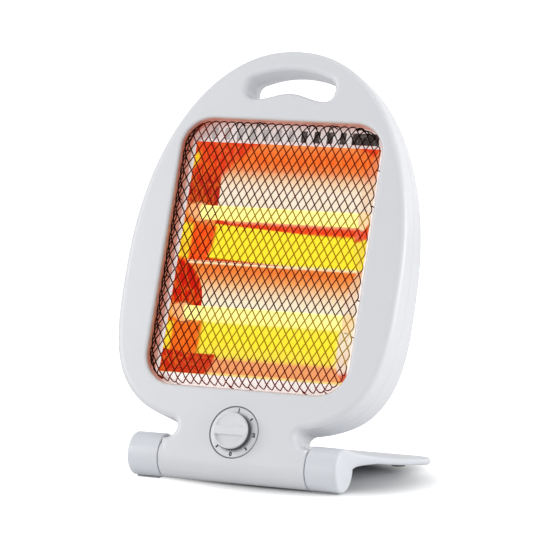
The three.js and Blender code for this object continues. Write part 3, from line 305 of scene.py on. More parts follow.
@dataclass(frozen=True)
class MouldedFinish:
    """A moulded plastic: faint cloudiness, fine moulding texture and a gloss that varies a little; an
    optional painted glow, a pink tint with emission deep in a patch, stands for the tubes' light.
    """

    name: str
    light: Colour
    dark: Colour
    gloss: float
    painted_tube_glow: GlowPatch | None = None
    painted_tube_glow_base: Colour = (0.42, 0.16, 0.12)
    painted_tube_glow_depths: Pair = (-18.0, -14.0)
    refraction: float = 1.49
    cloud: float = 9.0
    gloss_cloud: float = 15.0
    gloss_change: float = 0.01
    texture: float = 1400.0
    texture_depth: float = 0.00001
    texture_strength: float = 0.02

    def build(self) -> bpy.types.Material:
        """Lays out the material.

        Returns:
            The material.
        """
        palette = Palette(self.name).set(IOR=self.refraction)
        plastic = palette.ramp(palette.noise(self.cloud), [(0.2, self.dark), (0.8, self.light)])
        cloud = palette.noise(self.gloss_cloud)
        gloss = palette.spread(cloud, 0.2, 0.8, self.gloss, self.gloss + self.gloss_change)
        palette.drive(gloss, "Roughness")
        # Painted light: a pink glow for the tubes' light, in colour and emission, deep in the opening's wall.
        if self.painted_tube_glow:
            place = palette.panel_place()
            behind = palette.node("ShaderNodeSeparateXYZ", place).outputs[1]
            deep = palette.spread(behind, *self.painted_tube_glow_depths, 0.0, 1.0)
            near = palette.patch(place, self.painted_tube_glow)
            share = palette.node("ShaderNodeMath", deep, near, operation="MULTIPLY").outputs[0]
            palette.set(Emission_Color=self.painted_tube_glow.colour).drive(share, "Emission Strength")
            plastic = palette.mixed(share, plastic, self.painted_tube_glow_base)
        palette.drive(plastic, "Base Color")
        return palette.bump(palette.noise(self.texture), self.texture_depth, self.texture_strength).material


@dataclass(frozen=True)
class SheetFinish:
    """Rolled sheet metal with fine rolling lines along X."""

    name: str
    light: Colour
    dark: Colour
    gloss: float
    gloss_change: float = 0.15
    lines: float = 900.0
    stretch: Colour = (0.04, 1.0, 1.0)
    line_depth: float = 0.00003
    line_strength: float = 0.15

    def build(self) -> bpy.types.Material:
        """Lays out the material.

        Returns:
            The material.
        """
        palette = Palette(self.name).set(Metallic=1.0)
        lines = palette.noise(self.lines, 3.0, self.stretch)
        palette.drive(palette.ramp(lines, [(0.3, self.dark), (0.7, self.light)]), "Base Color")
        gloss = palette.spread(lines, 0.3, 0.7, self.gloss, self.gloss + self.gloss_change)
        palette.drive(gloss, "Roughness")
        return palette.bump(lines, self.line_depth, self.line_strength).material


@dataclass(frozen=True)
class GrainyFinish:
    """A matt surface with grain: rubber, ceramic or dark moulded plastic; its glow is painted light on the
    ceramics and the coil's own heat on the coil.
    """

    name: str
    light: Colour
    dark: Colour
    roughness: float
    grain: float
    metallic: float = 0.0
    glow: Colour = (0.0, 0.0, 0.0)
    roughness_change: float = 0.12
    grain_depth: float = 0.00006
    grain_strength: float = 0.3

    def build(self) -> bpy.types.Material:
        """Lays out the material.

        Returns:
            The material.
        """
        glows = float(any(self.glow))
        palette = Palette(self.name)
        palette.set(Metallic=self.metallic, Emission_Color=self.glow, Emission_Strength=glows)
        grain = palette.noise(self.grain, 4.0)
        palette.drive(palette.ramp(grain, [(0.35, self.dark), (0.65, self.light)]), "Base Color")
        rough = palette.spread(grain, 0.3, 0.7, self.roughness, self.roughness + self.roughness_change)
        return palette.drive(rough, "Roughness").bump(grain, self.grain_depth, self.grain_strength).material


@dataclass(frozen=True)
class GlowFinish:
    """A surface with the tubes' light painted on it: its painted glow changes with height, has patches and
    has upright streaks.
    """

    name: str
    bands: tuple[GlowBand, ...]
    patches: tuple[GlowPatch, ...] = ()
    streak: float = 0.0
    streak_colour: Colour = (0.0, 0.0, 0.0)
    base: Colour = (0.012, 0.004, 0.002)
    roughness: float = 0.5
    metallic: float = 0.0
    shine: float = 0.0
    streaks: float = 260.0
    stretch: Colour = (1.0, 1.0, 0.08)
    streak_depth: float = 0.0001
    streak_strength: float = 0.2

    def build(self) -> bpy.types.Material:
        """Lays out the material.

        Returns:
            The material.
        """
        palette = Palette(self.name).set(
            Base_Color=self.base,
            Roughness=self.roughness,
            Metallic=self.metallic,
            Specular_IOR_Level=self.shine,
            Emission_Strength=1.0,
        )
        place = palette.panel_place()
        low, high = self.bands[0].height, self.bands[-1].height
        height = palette.spread(palette.node("ShaderNodeSeparateXYZ", place).outputs[2], low, high, 0.0, 1.0)
        stops = [((band.height - low) / (high - low), band.colour) for band in self.bands]
        glow = palette.ramp(height, stops)
        for patch in self.patches:
            glow = palette.mixed(palette.patch(place, patch), glow, patch.colour)
        streaks = palette.noise(self.streaks, 2.0, self.stretch)
        none, full = (0.0, 0.0, 0.0), (self.streak, self.streak, self.streak)
        lines = palette.ramp(streaks, [(0.43, none), (0.48, full), (0.52, full), (0.57, none)])
        palette.drive(palette.mixed(lines, glow, self.streak_colour), "Emission Color")
        return palette.bump(streaks, self.streak_depth, self.streak_strength).material


@dataclass(frozen=True)
class TubeFinish:
    """A lit quartz tube: a pale yellow glow that ripples with the coil inside."""

    name: str
    light: Colour
    dark: Colour
    turn: float
    base: Colour = (0.3, 0.27, 0.1)
    gloss: float = 0.15
    glow: float = 0.97
    distortion: float = 0.6

    def build(self) -> bpy.types.Material:
        """Lays out the material.

        Returns:
            The material.
        """
        palette = Palette(self.name)
        palette.set(Base_Color=self.base, Roughness=self.gloss, Emission_Strength=self.glow)
        ripple = {"bands_direction": "X", "in_Scale": 0.5 / self.turn, "in_Distortion": self.distortion}
        wave = palette.node("ShaderNodeTexWave", palette.place(), **ripple).outputs[0]
        glow = palette.ramp(wave, [(0.0, self.dark), (1.0, self.light)])
        return palette.drive(glow, "Emission Color").material


@dataclass(frozen=True)
class SweptFinish:
    """Thin sheet with painted light that runs from bright at the left to dark at the right, with upright
    streaks.
    """

    name: str
    light: Colour
    dark: Colour
    start: float
    end: float
    streak_colour: Colour = (0.3, 0.27, 0.26)
    streaks: float = 500.0
    stretch: Colour = (1.0, 1.0, 0.1)
    streak_depth: float = 0.0001
    streak_strength: float = 0.2

    def build(self) -> bpy.types.Material:
        """Lays out the material.

        Returns:
            The material.
        """
        # Painted light: the sheet glows with its own colour.
        palette = Palette(self.name).set(Roughness=0.6, Emission_Strength=0.5)
        place = palette.node("ShaderNodeSeparateXYZ", palette.panel_place()).outputs[0]
        across = palette.spread(place, self.start, self.end, 0.0, 1.0)
        sheet = palette.ramp(across, [(0.0, self.light), (1.0, self.dark)])
        streaks = palette.noise(self.streaks, 2.0, self.stretch)
        sheet = palette.mixed(palette.spread(streaks, 0.5, 0.7, 0.0, 0.5), sheet, self.streak_colour)
        palette.drive(sheet, "Emission Color").drive(sheet, "Base Color")
        return palette.bump(streaks, self.streak_depth, self.streak_strength).material


class Finish(Enum):
    """The finishes of the heater's pieces."""

    SHELL = MouldedFinish("white_shell", (0.785, 0.787, 0.81), (0.78, 0.782, 0.805), 0.26)
    # Painted light: the opening's wall gets a pink glow for the tubes' light.
    FRONT = MouldedFinish(
        "white_shell_painted_glow",
        (0.785, 0.787, 0.81),
        (0.78, 0.782, 0.805),
        0.26,
        GlowPatch((0.0, 175.75), (94.1, 118.4), (0.20, 0.05, 0.03), 0.006),
    )
    FOOT = MouldedFinish("white_foot", (0.76, 0.775, 0.81), (0.75, 0.765, 0.80), 0.28)
    TRIM = MouldedFinish("dial_white", (0.80, 0.80, 0.82), (0.78, 0.78, 0.80), 0.3)
    MARK = GrainyFinish("dial_print", (0.02, 0.02, 0.02), (0.012, 0.012, 0.012), 0.6, 900.0)
    # Painted shade: the knob's skirt is dark where its side wall falls in shadow.
    SKIRT = GrainyFinish("shaded_skirt", (0.12, 0.122, 0.13), (0.07, 0.072, 0.08), 0.5, 900.0)
    # Painted shade: a dark ring for the shade in the groove round the dial.
    GROOVE = GrainyFinish("dial_groove_painted_shade", (0.16, 0.155, 0.16), (0.12, 0.12, 0.125), 0.7, 700.0)
    POLISHED = SheetFinish("polished_sheet", (0.86, 0.84, 0.8), (0.7, 0.68, 0.65), 0.16)
    # Painted light: grey glow bands by height, a red patch at the left and streaks stand for the tubes' light
    # on the flange.
    FLANGE = GlowFinish(
        "flange_painted_light",
        bands(
            (50.0, 0.30, 0.28, 0.27), (66.0, 0.34, 0.32, 0.30), (75.0, 0.50, 0.48, 0.46),
            (271.0, 0.47, 0.44, 0.43), (278.0, 0.22, 0.18, 0.17), (300.0, 0.16, 0.11, 0.10),
        ),
        (GlowPatch((-100.5, 178.0), (11.0, 130.0), (0.26, 0.07, 0.03), 0.05),),
        0.35,
        (0.24, 0.20, 0.19),
        base=(0.80, 0.79, 0.78),
        roughness=0.3,
        metallic=0.3,
        shine=0.5,
    )
    PLAIN = SheetFinish("plain_sheet", (0.55, 0.56, 0.57), (0.42, 0.43, 0.44), 0.32)
    # Painted light: the sheet behind the slots glows, bright at the left and fading to dark at the right.
    VENT = SweptFinish("vent_sheet", (0.42, 0.40, 0.39), (0.018, 0.010, 0.008), 4.0, 10.0)
    STEEL = SheetFinish("zinc_steel", (0.62, 0.62, 0.63), (0.5, 0.5, 0.51), 0.3)
    BRASS = GrainyFinish("brass", (0.75, 0.56, 0.26), (0.62, 0.45, 0.2), 0.3, 500.0, 1.0)
    CERAMIC = GrainyFinish("ceramic", (0.87, 0.84, 0.77), (0.78, 0.74, 0.66), 0.55, 400.0)
    # Painted light: the ceramic ends glow with the tubes' light, redder at the left and paler at the right.
    LEFT_CERAMIC = GrainyFinish(
        "lit_ceramic_left", (0.3, 0.18, 0.12), (0.24, 0.13, 0.08), 0.6, 400.0, glow=(0.86, 0.40, 0.15)
    )
    RIGHT_CERAMIC = GrainyFinish(
        "lit_ceramic_right", (0.3, 0.2, 0.14), (0.24, 0.16, 0.1), 0.6, 400.0, glow=(0.86, 0.62, 0.34)
    )
    DARK = GrainyFinish("dark_plastic", (0.05, 0.052, 0.058), (0.03, 0.031, 0.035), 0.5, 800.0)
    RUBBER = GrainyFinish("pale_rubber", (0.5, 0.505, 0.52), (0.44, 0.445, 0.46), 0.75, 900.0)
    LEAD = GrainyFinish("glass_fibre_sleeve", (0.86, 0.84, 0.78), (0.7, 0.68, 0.62), 0.7, 1500.0)
    TUBE = TubeFinish("lit_quartz", (0.98, 0.96, 0.36), (0.98, 0.93, 0.22), 0.0022)
    COIL = GrainyFinish(
        "glowing_coil", (0.5, 0.25, 0.06), (0.4, 0.18, 0.04), 0.5, 500.0, glow=(1.0, 0.55, 0.15)
    )
    # Painted light: the black wires carry bands of red and orange glow by height where they cross the lit
    # troughs, and none beyond the opening.
    WIRE = GlowFinish(
        "black_wire_painted_glow",
        bands(
            (70.0, 0.12, 0.004, 0.0), (84.0, 0.12, 0.004, 0.0), (86.0, 0.34, 0.17, 0.0),
            (124.0, 0.36, 0.22, 0.004), (127.0, 0.05, 0.01, 0.004), (155.0, 0.10, 0.008, 0.002),
            (166.0, 0.12, 0.006, 0.0), (168.0, 0.36, 0.17, 0.0), (191.0, 0.36, 0.17, 0.0),
            (193.0, 0.20, 0.004, 0.0), (201.0, 0.20, 0.004, 0.0), (203.0, 0.34, 0.20, 0.004),
            (213.0, 0.34, 0.20, 0.004), (216.0, 0.05, 0.012, 0.005), (240.0, 0.10, 0.008, 0.002),
            (272.0, 0.16, 0.007, 0.0), (275.0, 0.0, 0.0, 0.0),
        ),
        (
            GlowPatch((-80.0, 178.0), (33.0, 110.0), (0.10, 0.004, 0.0), 0.03),
            GlowPatch((6.0, 177.0), (86.0, 140.0), (0.0, 0.0, 0.0), 0.02, is_outside=True),
        ),
        base=(0.010, 0.006, 0.005),
        roughness=0.38,
    )
    # Painted reflections: each trough shows the tubes' light as bands of glow by height, with patches and
    # orange streaks.
    UPPER_GLOW = GlowFinish(
        "upper_trough_painted_reflection",
        bands(
            (171.0, 0.95, 0.85, 0.35), (173.0, 1.0, 0.88, 0.035), (200.0, 1.0, 0.90, 0.035),
            (203.5, 0.92, 0.05, 0.012), (208.0, 0.90, 0.06, 0.02), (211.0, 0.93, 0.45, 0.25),
            (220.0, 0.97, 0.86, 0.68), (238.0, 0.98, 0.86, 0.70), (245.0, 0.96, 0.76, 0.55),
            (250.0, 0.93, 0.60, 0.36), (257.0, 0.93, 0.24, 0.07), (264.0, 0.97, 0.145, 0.018),
            (271.0, 0.95, 0.18, 0.035), (275.5, 0.95, 0.27, 0.07),
        ),
        (
            GlowPatch(
                (20.0, 235.0), (90.0, 46.0), (0.80, 0.045, 0.012), 0.035, is_round=True, is_outside=True
            ),
            GlowPatch((0.0, 187.5), (140.0, 16.0), (1.0, 0.89, 0.035), 0.04, 3.4),
            GlowPatch((-92.0, 188.5), (29.0, 17.0), (0.97, 0.065, 0.008), 0.06),
        ),
        0.14,
        (0.93, 0.50, 0.10),
    )
    LOWER_GLOW = GlowFinish(
        "lower_trough_painted_reflection",
        bands(
            (71.0, 0.94, 0.82, 0.32), (73.0, 0.94, 0.70, 0.25), (75.0, 0.93, 0.34, 0.14),
            (87.0, 0.93, 0.36, 0.15), (91.5, 0.98, 0.82, 0.08), (105.0, 1.0, 0.89, 0.035),
            (119.0, 1.0, 0.90, 0.05), (126.0, 0.98, 0.90, 0.55), (138.0, 0.98, 0.90, 0.68),
            (145.0, 0.96, 0.80, 0.56), (153.0, 0.97, 0.56, 0.28), (158.0, 0.96, 0.36, 0.11),
            (165.0, 0.92, 0.20, 0.035), (168.5, 0.92, 0.21, 0.04), (169.6, 0.95, 0.82, 0.50),
            (171.0, 0.95, 0.85, 0.50),
        ),
        (
            GlowPatch((-95.0, 107.0), (33.0, 15.0), (0.93, 0.15, 0.012), 0.05),
            GlowPatch((-95.0, 82.0), (51.0, 10.5), (0.62, 0.022, 0.008), 0.03),
            GlowPatch((110.0, 107.0), (42.0, 18.0), (0.96, 0.90, 0.55), 0.12),
        ),
        0.14,
        (0.93, 0.50, 0.10),
    )
    # Painted reflections: each cheek shows the tubes' light as glow bands by height, the left one redder and
    # darker than the right.
    LEFT_CHEEK_GLOW = GlowFinish(
        "left_cheek_glow",
        bands(
            (71.0, 0.62, 0.020, 0.008), (91.0, 0.60, 0.022, 0.008), (93.0, 0.93, 0.13, 0.01),
            (118.0, 0.93, 0.16, 0.014), (122.0, 0.95, 0.55, 0.12), (130.0, 0.92, 0.36, 0.09),
            (134.0, 0.66, 0.014, 0.006), (168.5, 0.60, 0.010, 0.005), (170.5, 0.97, 0.065, 0.008),
            (203.0, 0.97, 0.075, 0.010), (209.0, 0.92, 0.30, 0.07), (219.0, 0.90, 0.30, 0.10),
            (223.0, 0.50, 0.025, 0.012), (243.0, 0.55, 0.025, 0.012), (256.0, 0.80, 0.050, 0.012),
            (275.5, 0.84, 0.070, 0.016),
        ),
        (
            GlowPatch((-90.0, 188.0), (10.5, 15.5), (0.98, 0.78, 0.035), 0.10),
            GlowPatch((-92.0, 104.0), (10.0, 12.0), (0.98, 0.80, 0.035), 0.10),
            GlowPatch((-85.0, 259.0), (2.2, 7.0), (0.96, 0.62, 0.03), 0.4, 12.0, is_round=True),
        ),
        0.4,
        (0.94, 0.24, 0.02),
    )
    RIGHT_CHEEK_GLOW = GlowFinish(
        "right_cheek_glow",
        bands(
            (71.0, 0.62, 0.03, 0.01), (80.0, 0.70, 0.06, 0.02), (84.0, 0.94, 0.80, 0.66),
            (122.0, 0.95, 0.86, 0.62), (140.0, 0.96, 0.86, 0.70), (158.0, 0.92, 0.55, 0.30),
            (169.0, 0.92, 0.45, 0.22), (172.0, 0.98, 0.84, 0.04), (196.0, 0.98, 0.84, 0.04),
            (198.0, 0.90, 0.055, 0.015), (208.0, 0.90, 0.055, 0.018), (212.0, 0.93, 0.50, 0.30),
            (222.0, 0.96, 0.86, 0.68), (246.0, 0.94, 0.68, 0.45), (256.0, 0.88, 0.24, 0.09),
            (275.5, 0.86, 0.19, 0.06),
        ),
        (),
        0.4,
        (0.80, 0.40, 0.22),
    )


class Paint:
    """Makes each finish's material once."""

    def __init__(self) -> None:
        """Starts with no material made."""
        self.made: dict[Finish, bpy.types.Material] = {}

    def of(self, finish: Finish) -> bpy.types.Material:
        """The material of a finish.

        Args:
            finish: The finish.

        Returns:
            Its material.
        """
        if finish not in self.made:
            self.made[finish] = finish.value.build()
        return self.made[finish]


@dataclass(frozen=True)
class Outline:
    """A closed counter-clockwise line in X and Z, in millimetres, with each point's mitred way inwards."""

    points: tuple[Vector, ...]

    def inward(self) -> list[Vector]:
        """The mitred inward step for an inset of one.

        Returns:
            One vector for each point.
        """
        steps = []
        count = len(self.points)
        for index, point in enumerate(self.points):
            before = (point - self.points[index - 1]).normalized()
            after = (self.points[(index + 1) % count] - point).normalized()
            first = Vector((-before.y, before.x))
            second = Vector((-after.y, after.x))
            bisector = (first + second).normalized()
            steps.append(bisector / max(bisector.dot(first), MITRE_LIMIT))
        return steps

    def moved(self, across: float) -> "Outline":
        """The same line, moved along X."""
        return Outline(tuple(point + Vector((across, 0.0)) for point in self.points))

    @staticmethod
    def evened(points: Sequence[Vector], count: int) -> list[Vector]:
        """Spreads points evenly along an open line.

        Args:
            points: The line's points.
            count: How many points come back, both ends included.

        Returns:
            The even points.
        """
        lengths = [0.0]
        for first, second in zip(points, points[1:]):
            lengths.append(lengths[-1] + (second - first).length)
        even = []
        place = 0
        for index in range(count):
            want = lengths[-1] * index / (count - 1)
            while place < len(points) - 2 and lengths[place + 1] < want:
                place += 1
            span = max(lengths[place + 1] - lengths[place], 1e-9)
            even.append(points[place].lerp(points[place + 1], (want - lengths[place]) / span))
        return even


def rounded_rectangle(half_width: float, low: float, high: float, corner: float, steps: int = 12) -> Outline:
    """A rounded rectangle.

    Args:
        half_width: Half its width.
        low: Its lowest height.
        high: Its highest height.
        corner: Its corner radius.
        steps: Points along each corner.

    Returns:
        The outline.
    """
    points = []
    centres = (
        (half_width - corner, low + corner, -QUARTER),
        (half_width - corner, high - corner, 0.0),
        (corner - half_width, high - corner, QUARTER),
        (corner - half_width, low + corner, math.pi),
    )
    for x, z, start in centres:
        for step in range(steps + 1):
            turn = start + QUARTER * step / steps
            points.append(Vector((x + corner * math.cos(turn), z + corner * math.sin(turn))))
    return Outline(tuple(points))


def circle(x: float, z: float, radius: float, steps: int = 32) -> Outline:
    """A circle.

    Args:
        x: Its centre.
        z: Its centre's height.
        radius: Its radius.
        steps: Points round it.

    Returns:
        The outline.
    """
    turns = [math.tau * step / steps for step in range(steps)]
    return Outline(tuple(Vector((x + radius * math.cos(t), z + radius * math.sin(t))) for t in turns))


def level(depth: float) -> Surface:
    """A flat surface at one depth."""
    return lambda height: depth


def only(items: Iterable[object], kind: type) -> list:
    """The items of one kind."""
    return [item for item in items if isinstance(item, kind)]


def faced(bm: bmesh.types.BMesh) -> bmesh.types.BMesh:
    """Turns a mesh's faces outwards."""
    bmesh.ops.recalc_face_normals(bm, faces=bm.faces[:])
    return bm


def handed(bm: bmesh.types.BMesh, side: Side) -> bmesh.types.BMesh:
    """Mirrors a right-hand mesh where the side is the left one."""
    bmesh.ops.scale(bm, vec=(side.value, 1, 1), verts=bm.verts[:])
    return faced(bm)


def extruded(bm: bmesh.types.BMesh, edges: Sequence[bmesh.types.BMEdge]) -> tuple[list, list]:
    """Extrudes edges in place.

    Args:
        bm: The mesh.
        edges: The edges.

    Returns:
        The new points and the new open edges.
    """
    grown = bmesh.ops.extrude_edge_only(bm, edges=edges)["geom"]
    rim = [edge for edge in only(grown, bmesh.types.BMEdge) if edge.is_boundary]
    return only(grown, bmesh.types.BMVert), rim


def cut(bm: bmesh.types.BMesh, place: Sequence[float], way: Sequence[float], **options: float | bool) -> list:
    """Cuts a whole mesh along a plane.

    Args:
        bm: The mesh.
        place: A point of the plane.
        way: The plane's normal.
        options: What else bisect_plane takes.

    Returns:
        The edges that lie on the cut.
    """
    everything = bm.verts[:] + bm.edges[:] + bm.faces[:]
    made = bmesh.ops.bisect_plane(bm, geom=everything, plane_co=place, plane_no=way, **options)
    return only(made["geom_cut"], bmesh.types.BMEdge)


class Skin:
    """A sheet grown from a filled plan, with rings of faces along each of its edges."""

    straight_share = 0.3
    row_snap = 0.06
    stray_reach = 1.8

    def __init__(self, face: Surface) -> None:
        """Starts an empty sheet.

        Args:
            face: The sheet's depth, Y, at a height.
        """
        self.face = face
        self.bm = bmesh.new()
        self.home = self.bm.verts.layers.float_vector.new("home")
        self.into = self.bm.verts.layers.float_vector.new("into")
        self.part = self.bm.verts.layers.float.new("part")
        self.held = self.bm.verts.layers.float.new("held")
        self.parts = 0
        self.edges: list[bmesh.types.BMEdge] = []

    def edge(
        self, outline: Outline, inset: float, hole: bool = False, held: Callable[[Vector], bool] | None = None
    ) -> int:
        """Adds one edge line of the plan.

        Args:
            outline: The finished edge.
            inset: How far into the sheet its flat part starts.
            hole: True for the edge of a hole.
            held: Edges between points for which this is true stay as they are.

        Returns:
            The edge's number, for grow.
        """
        sign = -1.0 if hole else 1.0
        verts = []
        for point, step in zip(outline.points, outline.inward()):
            into = Vector((step.x * sign, 0.0, step.y * sign))
            stays = bool(held and held(point))
            if stays:
                straight = abs(into.x) > self.straight_share
                into = Vector((math.copysign(1.0, into.x) if straight else 0.0, 0.0, 0.0))
            home = Vector((point.x, 0.0, point.y))
            vert = self.bm.verts.new(home + into * inset)
            vert[self.home] = home
            vert[self.into] = into
            vert[self.part] = float(self.parts)
            vert[self.held] = float(stays)
            verts.append(vert)
        for first, second in zip(verts, verts[1:] + verts[:1]):
            self.edges.append(self.bm.edges.new((first, second)))
        self.parts += 1
        return self.parts - 1

    def fill(self, rows: Iterable[float] = ()) -> "Skin":
        """Fills the plan between its edges, cuts it along rows of equal height and gives it its depth.

        Args:
            rows: Heights at which the sheet is cut, so that it can curve.

        Returns:
            This skin.
        """
        bmesh.ops.triangle_fill(self.bm, use_beauty=True, edges=self.edges, normal=(0.0, -1.0, 0.0))
        for row in rows:
            cut(self.bm, (0, 0, row), (0, 0, 1), dist=self.row_snap)
        for vert in self.bm.verts:
            vert.co.y = self.face(vert.co.z)
        return self

    def grow(self, part: int, rings: Sequence[tuple[float, Surface]]) -> "Skin":
        """Extrudes an edge through rings.

        Args:
            part: The edge's number.
            rings: For each ring its inset from the finished edge and its depth at a height.

        Returns:
            This skin.
        """
        edges = self.border(part)
        for inset, depth in rings:
            edges = extruded(self.bm, edges)[1]
            for vert in {vert for edge in edges for vert in edge.verts}:
                vert.co = vert[self.home] + vert[self.into] * inset
                vert.co.y = depth(vert.co.z)
        return self

    def border(self, part: int) -> list[bmesh.types.BMEdge]:
        """The open edges of one part.

        Args:
            part: The edge's number.

        Returns:
            The edges that may grow.
        """
        return [
            edge
            for edge in self.bm.edges
            if edge.is_boundary
            and all(abs(vert[self.part] - part) < 0.25 for vert in edge.verts)
            and not all(vert[self.held] > 0.9 for vert in edge.verts)
        ]

    def close_hole(self, part: int) -> "Skin":
        """Fills the last ring of an edge with a floor."""
        bmesh.ops.edgeloop_fill(self.bm, edges=self.border(part))
        return self

    def thicken(self, wall: float, outward: Vector) -> bmesh.types.BMesh:
        """Gives the sheet a wall behind its shown face; points that a tight corner throws far off come back.

        Args:
            wall: The wall's thickness.
            outward: The way the filled plan looks.

        Returns:
            The closed mesh.
        """
        faced(self.bm)
        largest = max(self.bm.faces, key=lambda face: face.calc_area())
        if largest.normal.dot(outward) < 0:
            bmesh.ops.reverse_faces(self.bm, faces=self.bm.faces[:])
        shown = KDTree(len(self.bm.verts))
        for index, vert in enumerate(self.bm.verts):
            shown.insert(vert.co, index)
        shown.balance()
        bmesh.ops.solidify(self.bm, geom=self.bm.faces[:], thickness=wall)
        strays = {vert for vert in self.bm.verts if shown.find(vert.co)[2] > self.stray_reach * wall}
        for vert in strays:
            others = [edge.other_vert(vert) for edge in vert.link_edges]
            near = [other.co for other in others if other not in strays]
            vert.co = sum(near, Vector()) / len(near)
        return faced(self.bm)


def rounding(radius: float, start: Callable[[float], Surface], steps: int = 8) -> list[tuple[float, Surface]]:
    """Rings that turn a flat face into a wall.

    Args:
        radius: The rounding's radius.
        start: The surface at a given depth below the flat face.
        steps: How many rings.

    Returns:
        Rings for Skin.grow.
    """
    rings = []
    for step in range(steps + 1):
        turn = QUARTER * step / steps
        rings.append((radius * (1 - math.sin(turn)), start(radius * (1 - math.cos(turn)))))
    return rings


def finish_piece(
    name: str,
    mesh: bmesh.types.BMesh,
    material: bpy.types.Material,
    replaces: Sequence[str] = (),
    place: Matrix = PANEL_PLACE,
    body: Body = Body.HEATER,
    sharp: float = 38.0,
) -> None:
    """Turns a bmesh into a piece that rides on a body.

    Args:
        name: The piece's name.
        mesh: Its mesh, which is freed.
        material: Its material.
        replaces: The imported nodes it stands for.
        place: From the mesh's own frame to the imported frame.
        body: The body it rides on.
        sharp: The angle above which an edge is sharp, in degrees.
    """
    bmesh.ops.transform(mesh, matrix=place, verts=mesh.verts[:])
    limit = math.radians(sharp)
    for face in mesh.faces:
        face.smooth = True
    for edge in mesh.edges:
        edge.smooth = len(edge.link_faces) == 2 and edge.calc_face_angle(0.0) < limit
    data = bpy.data.meshes.new(name)
    mesh.to_mesh(data)
    mesh.free()
    piece = bpy.data.objects.new(name, data)
    bpy.context.scene.collection.objects.link(piece)
    data.materials.append(material)
    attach(piece, body.value)
    if replaces:
        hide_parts(*replaces)
    log.info("%s: %d faces", name, len(data.polygons))


def spun(profile: Sequence[tuple[float, float]], axis: Vector, steps: int = 48) -> bmesh.types.BMesh:
    """Spins a closed profile about a level axis through the origin.

    Args:
        profile: Radii and places along the axis, from one end to the other.
        axis: The axis, square to Z.
        steps: Facets round it.

    Returns:
        The closed mesh.
    """
    bm = bmesh.new()
    verts = [bm.verts.new(Vector((0.0, 0.0, radius)) + axis * along) for radius, along in profile]
    line = verts + [bm.edges.new(pair) for pair in zip(verts, verts[1:])]
    bmesh.ops.spin(bm, geom=line, cent=(0, 0, 0), axis=axis, angle=math.tau, steps=steps, use_merge=True)
    bmesh.ops.remove_doubles(bm, verts=bm.verts[:], dist=WELD)
    return faced(bm)


def add_mesh(target: bmesh.types.BMesh, source: bmesh.types.BMesh, place: Matrix) -> None:
    """Adds one mesh to another.

    Args:
        target: The mesh that grows.
        source: The mesh that is added, and freed.
        place: Where it goes.
    """
    bmesh.ops.transform(source, matrix=place, verts=source.verts[:])
    data = bpy.data.meshes.new("passing")
    source.to_mesh(data)
    source.free()
    target.from_mesh(data)
    bpy.data.meshes.remove(data)


def curve_mesh(curve: bpy.types.Curve) -> bmesh.types.BMesh:
    """Turns a curve or a text into a mesh and removes it.

    Args:
        curve: The curve.

    Returns:
        The closed mesh.
    """
    holder = bpy.data.objects.new(curve.name, curve)
    bpy.context.scene.collection.objects.link(holder)
    bpy.context.view_layer.update()
    data = bpy.data.meshes.new_from_object(holder.evaluated_get(bpy.context.evaluated_depsgraph_get()))
    bm = bmesh.new()
    bm.from_mesh(data)
    bpy.data.objects.remove(holder)
    bpy.data.curves.remove(curve)
    bpy.data.meshes.remove(data)
    bmesh.ops.remove_doubles(bm, verts=bm.verts[:], dist=WELD)
    return faced(bm)


def bent_wires(lines: Sequence[list[Vector]], radius: float) -> bmesh.types.BMesh:
    """Makes round wires along open centre lines.

    Args:
        lines: Each wire's points.
        radius: The wires' radius.

    Returns:
        The closed mesh.
    """
    curve = bpy.data.curves.new("wires", "CURVE")
    curve.dimensions = "3D"
    curve.bevel_depth = radius
    curve.bevel_resolution = 1
    curve.use_fill_caps = True
    for line in lines:
        spline = curve.splines.new("POLY")
        spline.points.add(len(line) - 1)
        for point, place in zip(spline.points, line):
            point.co = (*place, 1.0)
    return curve_mesh(curve)


def block(size: Vector, bevel: float, segments: int = 3) -> bmesh.types.BMesh:
    """A block with rounded edges, centred on the origin.

    Args:
        size: Its size.
        bevel: Its edge radius.
        segments: Facets across each edge.

    Returns:
        The mesh.
    """
    bm = bmesh.new()
    bmesh.ops.create_cube(bm, size=1.0)
    bmesh.ops.scale(bm, vec=size, verts=bm.verts[:])
    shape = {"offset": bevel, "segments": segments, "profile": 0.5, "affect": "EDGES", "material": -1}
    bmesh.ops.bevel(bm, geom=bm.edges[:], **shape)
    return bm


